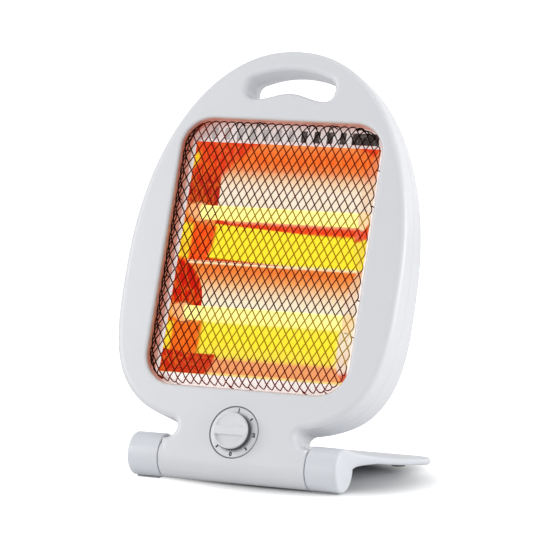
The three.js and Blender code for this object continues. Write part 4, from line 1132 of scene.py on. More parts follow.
@dataclass
class Housing:
    """The two white shells with the barrel, the neck, the opening, the handle hole and the rear vents."""

    half_width: float = 127.6
    top: float = 355.8
    bottom: float = 26.0
    widest: float = 160.0
    top_fullness: float = 2.12
    bottom_fullness: float = 3.35
    neck_half: float = 55.0
    flare_height: float = 12.5
    flare_rise: float = 10.5
    fillet: float = 6.0
    barrel_half: float = 67.0
    barrel_radius: float = 18.5
    barrel_shoulder: float = 14.6
    barrel_chamfer: float = 0.7
    egg_points: int = 150
    front_rounding: float = 5.6
    rear_rounding: float = 6.6
    wall: float = 2.0
    seam: float = 2.65
    seam_gap: float = 0.15
    seam_chamfer: float = 0.35
    support: float = 0.7
    rear_support: float = 0.25
    opening_half: float = 93.0
    opening_low: float = 58.5
    opening_high: float = 293.0
    opening_corner: float = 27.0
    lip: float = 3.0
    opening_depth: float = 15.0
    handle_rounding: float = 4.5
    handle_half: float = 41.0
    handle_top: float = 338.5
    handle_arch: float = 92.0
    handle_arch_half: float = 34.0
    handle_side: float = 322.0
    handle_dip: float = 312.0
    handle_dip_half: float = 32.0
    handle_hump: float = 318.0
    back_depth: float = 30.0
    back_depth_at_top: float = 13.0
    back_curve_start: float = 90.0
    back_curve_power: float = 1.3
    blend_start: float = 12.0
    blend_height: float = 40.0
    first_row: int = 8
    row_pitch: int = 6
    row_count: int = 58
    screw_places: tuple[Pair, ...] = ((84, 50), (114, 104), (114, 170.5), (64, 313))
    well_radius: float = 3.8
    well_depth: float = 5.0
    hole_support: float = 0.9
    gland_place: Pair = (30.0, 56.0)
    gland_radius: float = 6.3
    slot_rows: tuple[float, ...] = (250.0, 96.0)
    slot_count: int = 8
    slot_pitch: float = 12.0
    slot_width: float = 4.0
    slot_height: float = 24.0
    slot_corner: float = 1.6

    def egg(self, turn: float) -> Vector:
        """A point of the egg-shaped outline.

        Args:
            turn: From -90 degrees at the bottom to 90 at the top, in radians.

        Returns:
            The point.
        """
        across, along = math.cos(turn), math.sin(turn)
        fullness = self.top_fullness if along >= 0 else self.bottom_fullness
        reach = self.top - self.widest if along >= 0 else self.widest - self.bottom
        x = self.half_width * max(across, 0.0) ** (2 / fullness)
        return Vector((x, self.widest + reach * math.copysign(abs(along) ** (2 / fullness), along)))

    def outline(self) -> Outline:
        """The body's outline from the barrel's right end round to its left end.

        Returns:
            The outline.
        """
        right = [Vector((self.barrel_half, 0.0))]
        for step in (0, *range(3, 13)):
            turn = QUARTER * (1 - step / 12)
            x = self.barrel_half - (self.barrel_half - self.neck_half) * math.cos(turn)
            right.append(Vector((x, self.flare_height + self.flare_rise * (1 - math.sin(turn)))))
        join = self.neck_half + self.fillet
        start = -math.acos((join / self.half_width) ** (self.bottom_fullness / 2))
        height = self.egg(start).y
        for step in range(8):
            turn = QUARTER * step / 8
            x = join - self.fillet * math.cos(turn)
            right.append(Vector((x, height + self.fillet * (math.sin(turn) - 1))))
        dense = [self.egg(start + (QUARTER - start) * step / 900) for step in range(901)]
        right += Outline.evened(dense, self.egg_points)
        left = [Vector((-point.x, point.y)) for point in reversed(right[:-1])]
        foot = [Vector((5.0 * step, 0.0)) for step in range(-10, 11)]
        return Outline(tuple(right + left + foot))

    def handle(self) -> Outline:
        """The handle hole's outline.

        Returns:
            The outline.
        """
        half, dip, dip_half = self.handle_half, self.handle_dip, self.handle_dip_half

        def arch(x: float, above: float = 0.0) -> Vector:
            """A point on the handle hole's top arch, or above it."""
            rise = math.sqrt(self.handle_arch**2 - x**2)
            return Vector((x, self.handle_top - self.handle_arch + rise + above))

        def bend(first: Vector, corner: Vector, last: Vector, steps: int = 10) -> list[Vector]:
            """Points of a bend round a corner, without its last point."""
            shares = [step / steps for step in range(steps)]
            return [first.lerp(corner, share).lerp(corner.lerp(last, share), share) for share in shares]

        side = Vector((half, self.handle_side))
        right = bend(Vector((dip_half, dip)), Vector((half, dip + 0.4)), side)
        right += bend(side, arch(half, 1.5), arch(self.handle_arch_half))
        right += [arch(x) for x in (34, 30, 25, 20, 15, 10, 5)]
        left = [Vector((-point.x, point.y)) for point in reversed(right)]
        low = []
        for step in range(1, 20):
            x = dip_half * (2 * step / 20 - 1)
            rise = (self.handle_hump - dip) * (1 + math.cos(math.pi * x / dip_half)) / 2
            low.append(Vector((x, dip + rise)))
        return Outline(tuple(right + [Vector((0.0, self.handle_top))] + left + low))

    def opening(self) -> Outline:
        """The front opening's outline."""
        low, high = self.opening_low, self.opening_high
        return rounded_rectangle(self.opening_half, low, high, self.opening_corner, 14)

    def front(self, depth: float = 0.0) -> Surface:
        """The front face, or a plane this far behind it."""
        return level(depth - self.barrel_radius)

    def back(self, depth: float = 0.0) -> Surface:
        """The curved back face, or a surface in front of it.

        Args:
            depth: How far in front.

        Returns:
            The surface.
        """

        def surface(height: float) -> float:
            """The back face's place at one height.

            Args:
                height: The height.

            Returns:
                The place along Y.
            """
            rise = min(max(height - self.back_curve_start, 0.0) / (self.top - self.back_curve_start), 1.0)
            drop = self.back_depth - self.back_depth_at_top
            body = self.back_depth - drop * rise**self.back_curve_power
            share = min(max((height - self.blend_start) / self.blend_height, 0.0), 1.0)
            blend = share * share * (3 - 2 * share)
            return self.barrel_radius + (body - self.barrel_radius) * blend - depth

        return surface

    def barrel(self, front: bool) -> bmesh.types.BMesh:
        """The half of the barrel that belongs to one shell.

        Args:
            front: True for the front shell.

        Returns:
            The closed mesh.
        """
        seam = self.seam - self.seam_gap if front else self.seam + self.seam_gap
        radius, half, chamfer = self.barrel_radius, self.barrel_half, self.barrel_chamfer
        shoulder = [(radius, self.neck_half + step) for step in range(0, 12, 2)]
        right = [*shoulder, (radius, half - chamfer), (radius - chamfer, half), (0.0, half)]
        profile = [(reach, -along) for reach, along in reversed(right)] + right
        bm = spun(profile, ALONG_X, 96)
        for vert in bm.verts:
            share = max(abs(vert.co.x) - self.neck_half, 0.0) / (self.barrel_half - self.neck_half)
            if vert.co.z > 0:
                vert.co.z *= 1 - (1 - self.barrel_shoulder / radius) * math.sin(share * math.pi / 2)
        edges = cut(bm, (0, seam, 0), (0, 1, 0), clear_outer=front, clear_inner=not front)
        bmesh.ops.edgeloop_fill(bm, edges=edges)
        return faced(bm)

    @staticmethod
    def is_at_foot(point: Vector) -> bool:
        """Whether a point of the outline lies on its lower edge, inside the barrel."""
        return point.y < 1e-6

    def front_shell(self) -> bmesh.types.BMesh:
        """The front shell's closed mesh.

        Returns:
            The mesh.
        """
        skin = Skin(self.front())
        end = self.seam - self.seam_gap
        rim = skin.edge(self.outline(), self.front_rounding + self.support, held=self.is_at_foot)
        hole = skin.edge(self.handle(), self.handle_rounding + self.support, hole=True)
        window = skin.edge(self.opening(), self.lip + self.support, hole=True)
        skin.fill()
        flat = [(self.front_rounding, self.front())]
        sides = rounding(self.front_rounding, self.front)
        wall_end = [(0.0, level(end - self.seam_chamfer)), (self.seam_chamfer, level(end))]
        skin.grow(rim, flat + sides[1:] + wall_end)
        skin.grow(hole, rounding(self.handle_rounding, self.front) + [(0.0, level(end))])
        deep = self.opening_depth - self.barrel_radius
        skin.grow(window, rounding(self.lip, self.front) + [(0.0, level(deep / 2 - 5)), (0.0, level(deep))])
        bm = skin.thicken(self.wall, -ALONG_Y)
        add_mesh(bm, self.barrel(True), HERE)
        return bm

    def rear_shell(self) -> bmesh.types.BMesh:
        """The rear shell's closed mesh.

        Returns:
            The mesh.
        """
        skin = Skin(self.back())
        start = self.seam + self.seam_gap
        rim = skin.edge(self.outline(), self.rear_rounding + self.rear_support, held=self.is_at_foot)
        hole = skin.edge(self.handle(), self.handle_rounding + self.support, hole=True)
        wells = [
            skin.edge(circle(sign * x, z, self.well_radius, 20), self.hole_support, hole=True)
            for x, z in self.screw_places
            for sign in (-1, 1)
        ]
        slots = []
        for height in self.slot_rows:
            for index in range(self.slot_count):
                x = self.slot_pitch * (index - (self.slot_count - 1) / 2)
                half = self.slot_height / 2
                ends = (height - half, height + half)
                shape = rounded_rectangle(self.slot_width / 2, *ends, self.slot_corner, 3)
                slots.append(skin.edge(shape.moved(x), self.hole_support, hole=True))
        gland = skin.edge(circle(*self.gland_place, self.gland_radius, 24), self.hole_support, hole=True)
        skin.fill([self.first_row + self.row_pitch * step for step in range(self.row_count)])
        sides = rounding(self.rear_rounding, self.back)
        chamfer = [(0.0, level(start + self.seam_chamfer)), (self.seam_chamfer, level(start))]
        skin.grow(rim, sides + chamfer)
        skin.grow(hole, rounding(self.handle_rounding, self.back) + [(0.0, level(start))])
        for well in wells:
            skin.grow(well, [(0.3, self.back()), (0.1, self.back(0.1)), (0.0, self.back(0.5))])
            floor = self.back(self.well_depth)
            skin.grow(well, [(0.0, floor), (-0.8, floor)])
            skin.close_hole(well)
        for slot in slots + [gland]:
            skin.grow(slot, [(0.4, self.back()), (0.1, self.back(0.1)), (0.0, self.back(0.5))])
        bm = skin.thicken(self.wall, ALONG_Y)
        add_mesh(bm, self.barrel(False), HERE)
        return bm

    def build(self, paint: Paint) -> None:
        """Builds and dresses both shells.

        Args:
            paint: The finishes.
        """
        front, rear = paint.of(Finish.FRONT), paint.of(Finish.SHELL)
        finish_piece("front_shell", self.front_shell(), front, ["front_housing"])
        finish_piece("rear_shell", self.rear_shell(), rear, ["rear_housing"])


@dataclass
class HousingScrew:
    """A pan-head screw with a cross recess."""

    head_radius: float = 3.1
    head_height: float = 1.9
    shank_radius: float = 1.4
    shank_length: float = 9.0
    seat_gap: float = 0.3
    recess: tuple[float, float, float] = (3.4, 0.2, 0.9)

    def build(self, paint: Paint, housing: Housing) -> None:
        """Builds all the screws in their wells.

        Args:
            paint: The finishes.
            housing: The housing they hold together.
        """
        steel = paint.of(Finish.STEEL)
        places = [(sign * x, z) for x, z in housing.screw_places for sign in (1, -1)]
        for number, (x, z) in enumerate(places, start=1):
            seat = housing.back(housing.well_depth)(z) + self.seat_gap
            place = PANEL_PLACE @ Matrix.Translation((x, seat, z))
            node = f"housing_screw_{number}"
            finish_piece(f"pan_screw_{number}", self.mesh(), steel, [node], place, sharp=30.0)

    def mesh(self) -> bmesh.types.BMesh:
        """One screw, its head's seat on the origin and its shank towards -Y.

        Returns:
            The mesh.
        """
        radius, height = self.head_radius, self.head_height
        shank, length = self.shank_radius, self.shank_length
        profile = [(0.0, -length), (shank, -length), (shank, 0.0), (radius, 0.0), (radius, height * 0.45)]
        for step in range(1, 6):
            turn = QUARTER * step / 5
            profile.append((radius * (0.6 + 0.4 * math.cos(turn)), height * (0.45 + 0.5 * math.sin(turn))))
        profile.append((0.0, height))
        bm = spun(profile, ALONG_Y, 28)
        for quarter in range(2):
            place = Matrix.Translation((0, height, 0)) @ Matrix.Rotation(QUARTER * quarter, 4, "Y")
            add_mesh(bm, block(Vector(self.recess), 0.04, 1), place)
        return bm


@dataclass(frozen=True)
class NetEdge:
    """How the net ends on one side of the opening."""

    spread: float
    span: float
    pull: float

    def blend(self, other: "NetEdge", share: float) -> "NetEdge":
        """Mixes two edges.

        Args:
            other: The other edge.
            share: How much of it.

        Returns:
            The mixed edge.
        """
        pairs = ((self.spread, other.spread), (self.span, other.span), (self.pull, other.pull))
        return NetEdge(*(first + (second - first) * share for first, second in pairs))


@dataclass(frozen=True)
class WireEnd:
    """One end of a straight wire on the flat blank, with the way it points."""

    place: Vector
    out: Vector
    lift: float


@dataclass
class WireGuard:
    """A net of crossing wires, crowned in front, looped at its edge and bent back into the opening."""

    opening: Housing
    clearance: float = 1.3
    bend: float = 7.0
    proud: float = 1.3
    crown: float = 3.0
    wire: float = 0.52
    lift: float = 0.5
    pitch_x: float = 7.5
    pitch_z: float = 12.5
    step: float = 2.6
    leg_every: int = 9
    leg_overlap: float = 0.5
    loop_overlap: float = 0.6
    mate_share: float = 0.6
    mate_slack: float = 1.0
    spare: float = 14.0
    sample: float = 0.25
    samples: int = 900
    least_samples: int = 20
    top: NetEdge = NetEdge(-6.5, 1.5, 10.0)
    foot: NetEdge = NetEdge(-0.3, 0.5, 3.5)
    left: NetEdge = NetEdge(7.7, 0.5, 3.0)
    right: NetEdge = NetEdge(0.2, 0.5, 3.5)

    def outward(self, point: Vector) -> Vector:
        """The way out of the opening, from the centre of the nearest corner arc.

        Args:
            point: A point of the flat blank.

        Returns:
            The way out, whose length is counted from that centre.
        """
        body = self.opening
        inset = body.opening_corner + self.clearance
        x = min(max(point.x, inset - body.opening_half), body.opening_half - inset)
        z = min(max(point.y, body.opening_low + inset), body.opening_high - inset)
        return point - Vector((x, z))

    def edge(self, outward: Vector) -> NetEdge:
        """How the net ends in one direction.

        Args:
            outward: The way out of the opening.

        Returns:
            The edge.
        """
        way = outward.normalized()
        end = self.top if way.y > 0 else self.foot
        return end.blend(self.left if way.x < 0 else self.right, way.x**2)

    def is_on_net(self, point: Vector) -> bool:
        """Whether a point of the flat blank lies on the net.

        Args:
            point: The point.

        Returns:
            True on the net.
        """
        outward = self.outward(point)
        return outward.length <= self.opening.opening_corner + self.edge(outward).spread

    def bent(self, point: Vector, lift: float) -> Vector:
        """Where a point of the flat blank lies once the guard is bent.

        Args:
            point: The point.
            lift: How far behind the guard's front face.

        Returns:
            The point, in the panel's frame.
        """
        body = self.opening
        outward = self.outward(point)
        held = point - outward
        corner = body.opening_corner - self.bend
        beyond = outward.length - corner
        half = body.opening_half - self.clearance - self.bend
        middle = (body.opening_low + body.opening_high) / 2
        half_height = body.opening_high - middle - self.clearance - self.bend
        crown_x = 1 - (min(abs(point.x), half) / half) ** 2
        crown_z = 1 - (min(abs(point.y - middle), half_height) / half_height) ** 2
        face = -body.barrel_radius - self.proud - self.crown * crown_x * crown_z
        if beyond <= 0:
            return Vector((point.x, face + lift, point.y))
        turn = min(beyond / self.bend, QUARTER)
        down = max(beyond - self.bend * math.pi / 2, 0.0)
        radius = self.bend - lift
        place = held + outward.normalized() * (corner + radius * math.sin(turn))
        return Vector((place.x, face + self.bend - radius * math.cos(turn) + down, place.y))

    def wires(self) -> tuple[list[list[Vector]], list[WireEnd]]:
        """The two crossing rows of straight wires.

        Returns:
            Their centre lines, and their ends.
        """
        body = self.opening
        slope = self.pitch_z / self.pitch_x
        half = body.opening_half + self.spare
        middle = (body.opening_low + body.opening_high) / 2
        count = int((middle - body.opening_low + slope * half) / self.pitch_z) + 2
        lines, ends = [], []
        for sign, lift in ((1.0, 0.0), (-1.0, self.lift)):
            way = Vector((1.0, sign * slope)).normalized()
            for number in range(-count, count + 1):
                centre = Vector((0.0, middle + number * self.pitch_z))
                fine = [centre + way * (self.sample * at) for at in range(-self.samples, self.samples + 1)]
                kept = [point for point in fine if abs(point.x) < half and self.is_on_net(point)]
                if len(kept) < self.least_samples:
                    continue
                first, last = kept[0], kept[-1]
                points = Outline.evened([first, last], round((last - first).length / self.step) + 2)
                lines.append([self.bent(point, lift) for point in points])
                ends += [WireEnd(first, -way, lift), WireEnd(last, way, lift)]
        return lines, ends

    def loops(self, ends: Sequence[WireEnd]) -> list[list[Vector]]:
        """The loops that join each wire's end to one of its neighbours.

        Args:
            ends: The wires' ends.

        Returns:
            The loops' centre lines.
        """
        joined, lines = set(), []
        for number, end in enumerate(ends):
            outward = self.outward(end.place).normalized()
            edge = self.edge(outward)
            around = Vector((-outward.y, outward.x)) * math.copysign(1.0, outward.cross(end.out))
            reach = edge.span * (self.pitch_x + (self.pitch_z - self.pitch_x) * outward.x**2)
            aim = end.place + around * reach
            others = [other for other in range(len(ends)) if other != number]
            nearest = min(others, key=lambda other: (ends[other].place - aim).length)
            mate, pair = ends[nearest], frozenset((number, nearest))
            if pair in joined or (mate.place - aim).length > self.mate_share * reach + self.mate_slack:
                continue
            joined.add(pair)
            corners = (
                end.place - end.out * self.loop_overlap,
                end.place + end.out * edge.pull,
                mate.place + mate.out * edge.pull,
                mate.place - mate.out * self.loop_overlap,
            )
            line = []
            for step in range(13):
                share = step / 12
                rest = 1 - share
                weights = (rest**3, 3 * share * rest**2, 3 * share**2 * rest, share**3)
                point = sum((corner * weight for corner, weight in zip(corners, weights)), Vector((0.0, 0.0)))
                line.append(self.bent(point, end.lift + (mate.lift - end.lift) * share))
            lines.append(line)
        return lines

    def legs(self, ends: Sequence[WireEnd]) -> list[list[Vector]]:
        """The few wires that run on from the net's edge to the flange.

        Args:
            ends: The wires' ends.

        Returns:
            Their centre lines.
        """
        last = self.bend * (QUARTER - 1) + self.opening.opening_depth + self.proud - self.bend
        lines = []
        for end in ends[:: self.leg_every]:
            outward = self.outward(end.place)
            way = outward.normalized()
            start = outward.length - self.opening.opening_corner - self.leg_overlap
            places = [start + (last - start) * step / 8 - start - self.leg_overlap for step in range(9)]
            lines.append([self.bent(end.place + way * place, end.lift) for place in places])
        return lines

    def build(self, paint: Paint) -> None:
        """Builds and dresses the guard.

        Args:
            paint: The finishes.
        """
        lines, ends = self.wires()
        lines += self.loops(ends) + self.legs(ends)
        wire = paint.of(Finish.WIRE)
        finish_piece("guard_net", bent_wires(lines, self.wire), wire, ["wire_guard"], sharp=80.0)


@dataclass
class Reflector:
    """Two blunt troughs, two slanted end cheeks and the slotted flange round them."""

    opening: Housing
    flange_front: float = -3.2
    half: float = 86.0
    low: float = 71.0
    high: float = 275.5
    split: float = 171.0
    depth: float = 19.0
    ridge: float = 5.0
    bluntness: float = 4.0
    run: float = 20.0
    slot_width: float = 5.8
    slot_low: float = 278.2
    slot_high: float = 288.8
    first_slot: float = -70.4
    slot_pitch: float = 12.0
    slot_count: int = 11
    wide_slot: tuple[float, float] = (57.8, 82.8)
    slot_corner: float = 1.0
    strip_lip: float = 3.0
    strip_gap: float = 1.6
    tube_heights: Pair = (126.0, 215.0)
    tube_depth: float = 6.2
    ceramic_radius: float = 8.0
    ceramic_gap: float = 1.4
    flange_half: float = 101.0
    flange_low: float = 54.5
    flange_high: float = 297.0
    flange_corner: float = 27.0
    flange_wall: float = 0.8
    inner_corner: float = 0.6
    wall: float = 0.7
    strip_wall: float = 0.5
    trough_gap: float = 0.3
    cheek_gap: float = 0.4
    trough_steps: int = 40

    def trough(self, low: float, high: float, ridge_high: bool) -> list[tuple[float, float]]:
        """Depths and heights along one trough.

        Args:
            low: Its lower edge.
            high: Its upper edge.
            ridge_high: True where the ridge is its upper edge.

        Returns:
            Depth and height pairs.
        """
        line = []
        for step in range(self.trough_steps + 1):
            share = 2 * step / self.trough_steps - 1
            edge = self.ridge if (share > 0) == ridge_high else 0.0
            deep = edge + (self.depth - edge) * (1 - abs(share) ** self.bluntness)
            line.append((self.flange_front + deep, low + (high - low) * step / self.trough_steps))
        return line

    def swept(self, line: Sequence[tuple[float, float]]) -> bmesh.types.BMesh:
        """Extrudes a line of depths and heights from one end of the reflector to the other.

        Args:
            line: Depth and height pairs.

        Returns:
            The open surface.
        """
        bm = bmesh.new()
        verts = [bm.verts.new((-self.half, y, z)) for y, z in line]
        edges = [bm.edges.new(pair) for pair in zip(verts, verts[1:])]
        bmesh.ops.translate(bm, vec=(2 * self.half, 0, 0), verts=extruded(bm, edges)[0])
        return bm

    @staticmethod
    def sheet(bm: bmesh.types.BMesh, wall: float) -> bmesh.types.BMesh:
        """Gives an open surface a sheet's thickness, behind its front.

        Args:
            bm: The surface.
            wall: The thickness.

        Returns:
            The same mesh, closed.
        """
        if faced(bm).faces[:][len(bm.faces) // 2].normal.y > 0:
            bmesh.ops.reverse_faces(bm, faces=bm.faces[:])
        bmesh.ops.solidify(bm, geom=bm.faces[:], thickness=wall)
        return faced(bm)

    def trough_mesh(self, line: Sequence[tuple[float, float]]) -> bmesh.types.BMesh:
        """Extrudes a trough's line across and cuts it between the cheeks.

        Args:
            line: Depth and height pairs.

        Returns:
            The mesh, with a sheet's thickness.
        """
        bm = self.swept(line)
        for sign in (-1, 1):
            place = (sign * (self.half - self.trough_gap), self.flange_front, 0)
            cut(bm, place, (sign * self.depth, self.run, 0), clear_outer=True)
        return self.sheet(bm, self.wall)

    def flange(self) -> bmesh.types.BMesh:
        """The slotted flange that lies behind the opening's wall.

        Returns:
            The mesh.
        """
        skin = Skin(level(self.flange_front))
        border = (self.flange_half, self.flange_low, self.flange_high, self.flange_corner)
        skin.edge(rounded_rectangle(*border, 10), 0.0)
        skin.edge(rounded_rectangle(self.half, self.low, self.high, self.inner_corner, 2), 0.0, hole=True)
        places = [self.first_slot + self.slot_pitch * index for index in range(self.slot_count)]
        ends = [(x - self.slot_width / 2, x + self.slot_width / 2) for x in places] + [self.wide_slot]
        for left, right in ends:
            shape = rounded_rectangle((right - left) / 2, self.slot_low, self.slot_high, self.slot_corner, 3)
            skin.edge(shape.moved((left + right) / 2), 0.0, hole=True)
        return skin.fill().thicken(self.flange_wall, -ALONG_Y)

    def strip(self) -> bmesh.types.BMesh:
        """The strip of thin sheet behind the flange's slots, folded back along both long edges.

        Returns:
            The mesh.
        """
        front = self.flange_front + self.flange_wall
        low, high = self.high + self.strip_gap, self.opening.opening_high
        fold = [(self.strip_lip, 0.0), (0.9, 0.0), (0.4, 0.12), (0.12, 0.4), (0.0, 0.9)]
        line = [(front + depth, low + rise) for depth, rise in fold]
        line += [(front + depth, high - rise) for depth, rise in reversed(fold)]
        return self.sheet(self.swept(line), self.strip_wall)

    def cheek(self, side: Side) -> bmesh.types.BMesh:
        """One slanted cheek with its two tube holes.

        Args:
            side: Which end.

        Returns:
            The mesh.
        """
        slant = math.hypot(self.depth, self.run)
        skin = Skin(level(0.0))
        low, high = self.low + self.cheek_gap, self.high - self.cheek_gap
        plan = ((0.0, low), (slant, low), (slant, high), (0.0, high))
        skin.edge(Outline(tuple(Vector(point) for point in plan)), 0.0)
        back = (self.tube_depth - self.flange_front) / self.depth * slant
        for height in self.tube_heights:
            hole = circle(slant - back, height, self.ceramic_radius + self.ceramic_gap, 28)
            skin.edge(hole, 0.0, hole=True)
        bm = faced(skin.fill().bm)
        bmesh.ops.solidify(bm, geom=bm.faces[:], thickness=self.wall)
        faced(bm)
        turn = math.atan2(self.depth, self.run)
        place = Matrix.Translation((self.half - self.run, self.flange_front + self.depth, 0))
        bmesh.ops.transform(bm, matrix=place @ Matrix.Rotation(-turn, 4, "Z"), verts=bm.verts[:])
        return handed(bm, side)

    def build(self, paint: Paint) -> None:
        """Builds and dresses the reflector.

        Args:
            paint: The finishes.
        """
        slot, node = "reflector_sheet", ["reflector"]
        # The flange, troughs and cheeks carry painted light: the tubes' glow and reflections are painted into
        # their emission.
        finish_piece("slotted_flange", self.flange(), paint.of(Finish.FLANGE), node)
        lower = self.trough_mesh(self.trough(self.low, self.split, True))
        finish_piece("lower_trough", lower, paint.of(Finish.LOWER_GLOW), node)
        upper = self.trough_mesh(self.trough(self.split, self.high, False))
        finish_piece("upper_trough", upper, paint.of(Finish.UPPER_GLOW), node)
        finish_piece("vent_strip", self.strip(), paint.of(Finish.VENT))
        for side, glow in ((Side.LEFT, Finish.LEFT_CHEEK_GLOW), (Side.RIGHT, Finish.RIGHT_CHEEK_GLOW)):
            cheek, node = self.cheek(side), [f"{side.word}_end_cheek"]
            finish_piece(f"{side.word}_cheek", cheek, paint.of(glow), node)


@dataclass
class QuartzTubes:
    """The two lit tubes with their coils."""

    radius: float = 6.2
    bore: float = 5.2
    chamfer: float = 0.3
    half: float = 88.0
    coil_radius: float = 3.4
    coil_half: float = 80.0
    coil_wire: float = 0.5
    coil_turns: int = 64
    coil_steps: int = 16
    depth: float = 6.2
    heights: tuple[tuple[str, float], ...] = (("lower", 126.0), ("upper", 215.0))

    def build(self, paint: Paint) -> None:
        """Builds and dresses the tubes.

        Args:
            paint: The finishes.
        """
        quartz, element = paint.of(Finish.TUBE), paint.of(Finish.COIL)
        radius, half, chamfer = self.radius, self.half, self.chamfer
        profile = [(self.bore, -half), (radius - chamfer, -half), (radius, chamfer - half)]
        profile += [(radius, half - chamfer), (radius - chamfer, half), (self.bore, half), (self.bore, -half)]
        for row, height in self.heights:
            place = PANEL_PLACE @ Matrix.Translation((0, self.depth, height))
            tube, coil = spun(profile, ALONG_X, 40), bent_wires([self.coil()], self.coil_wire)
            finish_piece(f"{row}_tube", tube, quartz, [f"{row}_quartz_tube"], place)
            finish_piece(f"{row}_coil", coil, element, [f"{row}_element_core"], place)

    def coil(self) -> list[Vector]:
        """The centre line of one heating coil.

        Returns:
            The line's points.
        """
        count = self.coil_turns * self.coil_steps
        line = []
        for index in range(count + 1):
            turn = math.tau * index / self.coil_steps
            along = self.coil_half * (2 * index / count - 1)
            line.append(Vector((along, self.coil_radius * math.sin(turn), self.coil_radius * math.cos(turn))))
        return line


@dataclass
class Dial:
    """The dial ring with its marks."""

    height: float = 21.2
    radius: float = 21.4
    bore: float = 16.7
    face: float = -19.3
    back: float = -17.3
    mark_radius: float = 18.6
    mark_length: float = 2.8
    mark_width: float = 1.35
    mark_lift: float = 0.12
    mark_bevel: float = 0.04
    digit_size: float = 4.6
    digit_weight: float = 0.3
    ticks: tuple[float, ...] = (50.0, 135.0, 226.0)
    digits: tuple[tuple[str, float], ...] = (("1", 5.0), ("2", 94.0), ("0", 180.0))
    groove_radii: Pair = (20.7, 22.4)
    groove_faces: Pair = (-18.58, -18.35)
    groove_shift: tuple[float, float, float] = (-0.35, 0.0, 0.1)

    def place(self) -> Matrix:
        """From the dial's own frame, with its face towards -Y, to the row frame."""
        return PANEL_PLACE @ Matrix.Translation((0, 0, self.height))

    def digit(self, text: str, turn: float) -> bmesh.types.BMesh:
        """A printed digit.

        Args:
            text: The digit.
            turn: Clockwise from the top, in degrees.

        Returns:
            The mesh.
        """
        words = bpy.data.curves.new("digit", "FONT")
        words.body = text
        words.size = self.digit_size
        words.align_x = "CENTER"
        words.align_y = "CENTER"
        words.extrude = self.mark_lift / 2
        words.offset = self.digit_weight
        bm = curve_mesh(words)
        angle = math.radians(turn)
        spot = Vector((self.mark_radius * math.sin(angle), self.face, self.mark_radius * math.cos(angle)))
        place = Matrix.Translation(spot) @ Matrix.Rotation(QUARTER, 4, "X")
        bmesh.ops.transform(bm, matrix=place, verts=bm.verts[:])
        return bm

    def marks(self) -> bmesh.types.BMesh:
        """The ticks and digits, all in one printed piece.

        Returns:
            The mesh.
        """
        bm = bmesh.new()
        for turn in self.ticks:
            tick = block(Vector((self.mark_width, self.mark_lift, self.mark_length)), self.mark_bevel, 1)
            spin = Matrix.Rotation(math.radians(turn), 4, "Y")
            add_mesh(bm, tick, spin @ Matrix.Translation((0, self.face, self.mark_radius)))
        for text, turn in self.digits:
            add_mesh(bm, self.digit(text, turn), HERE)
        return bm

    def build(self, paint: Paint) -> None:
        """Builds and dresses the dial.

        Args:
            paint: The finishes.
        """
        bore, radius, face, back, place = self.bore, self.radius, self.face, self.back, self.place()
        profile = [(bore, back), (bore, face + 0.3), (bore + 0.3, face), (radius - 0.8, face)]
        profile += [(radius - 0.2, face + 0.25), (radius, face + 0.8), (radius, back), (bore, back)]
        ring = spun(profile, ALONG_Y, 96)
        finish_piece("dial_face", ring, paint.of(Finish.TRIM), ["dial_ring"], place)
        # Painted shade: a flat dark ring stands for the shade in the groove round the dial, shifted left so
        # it shows wider there.
        (inner, outer), (near, far) = self.groove_radii, self.groove_faces
        groove = spun([(inner, near), (outer, near), (outer, far), (inner, far), (inner, near)], ALONG_Y, 96)
        bmesh.ops.translate(groove, vec=self.groove_shift, verts=groove.verts[:])
        finish_piece("dial_groove_painted_shade", groove, paint.of(Finish.GROOVE), place=place)
        finish_piece("dial_marks", self.marks(), paint.of(Finish.MARK), place=place)


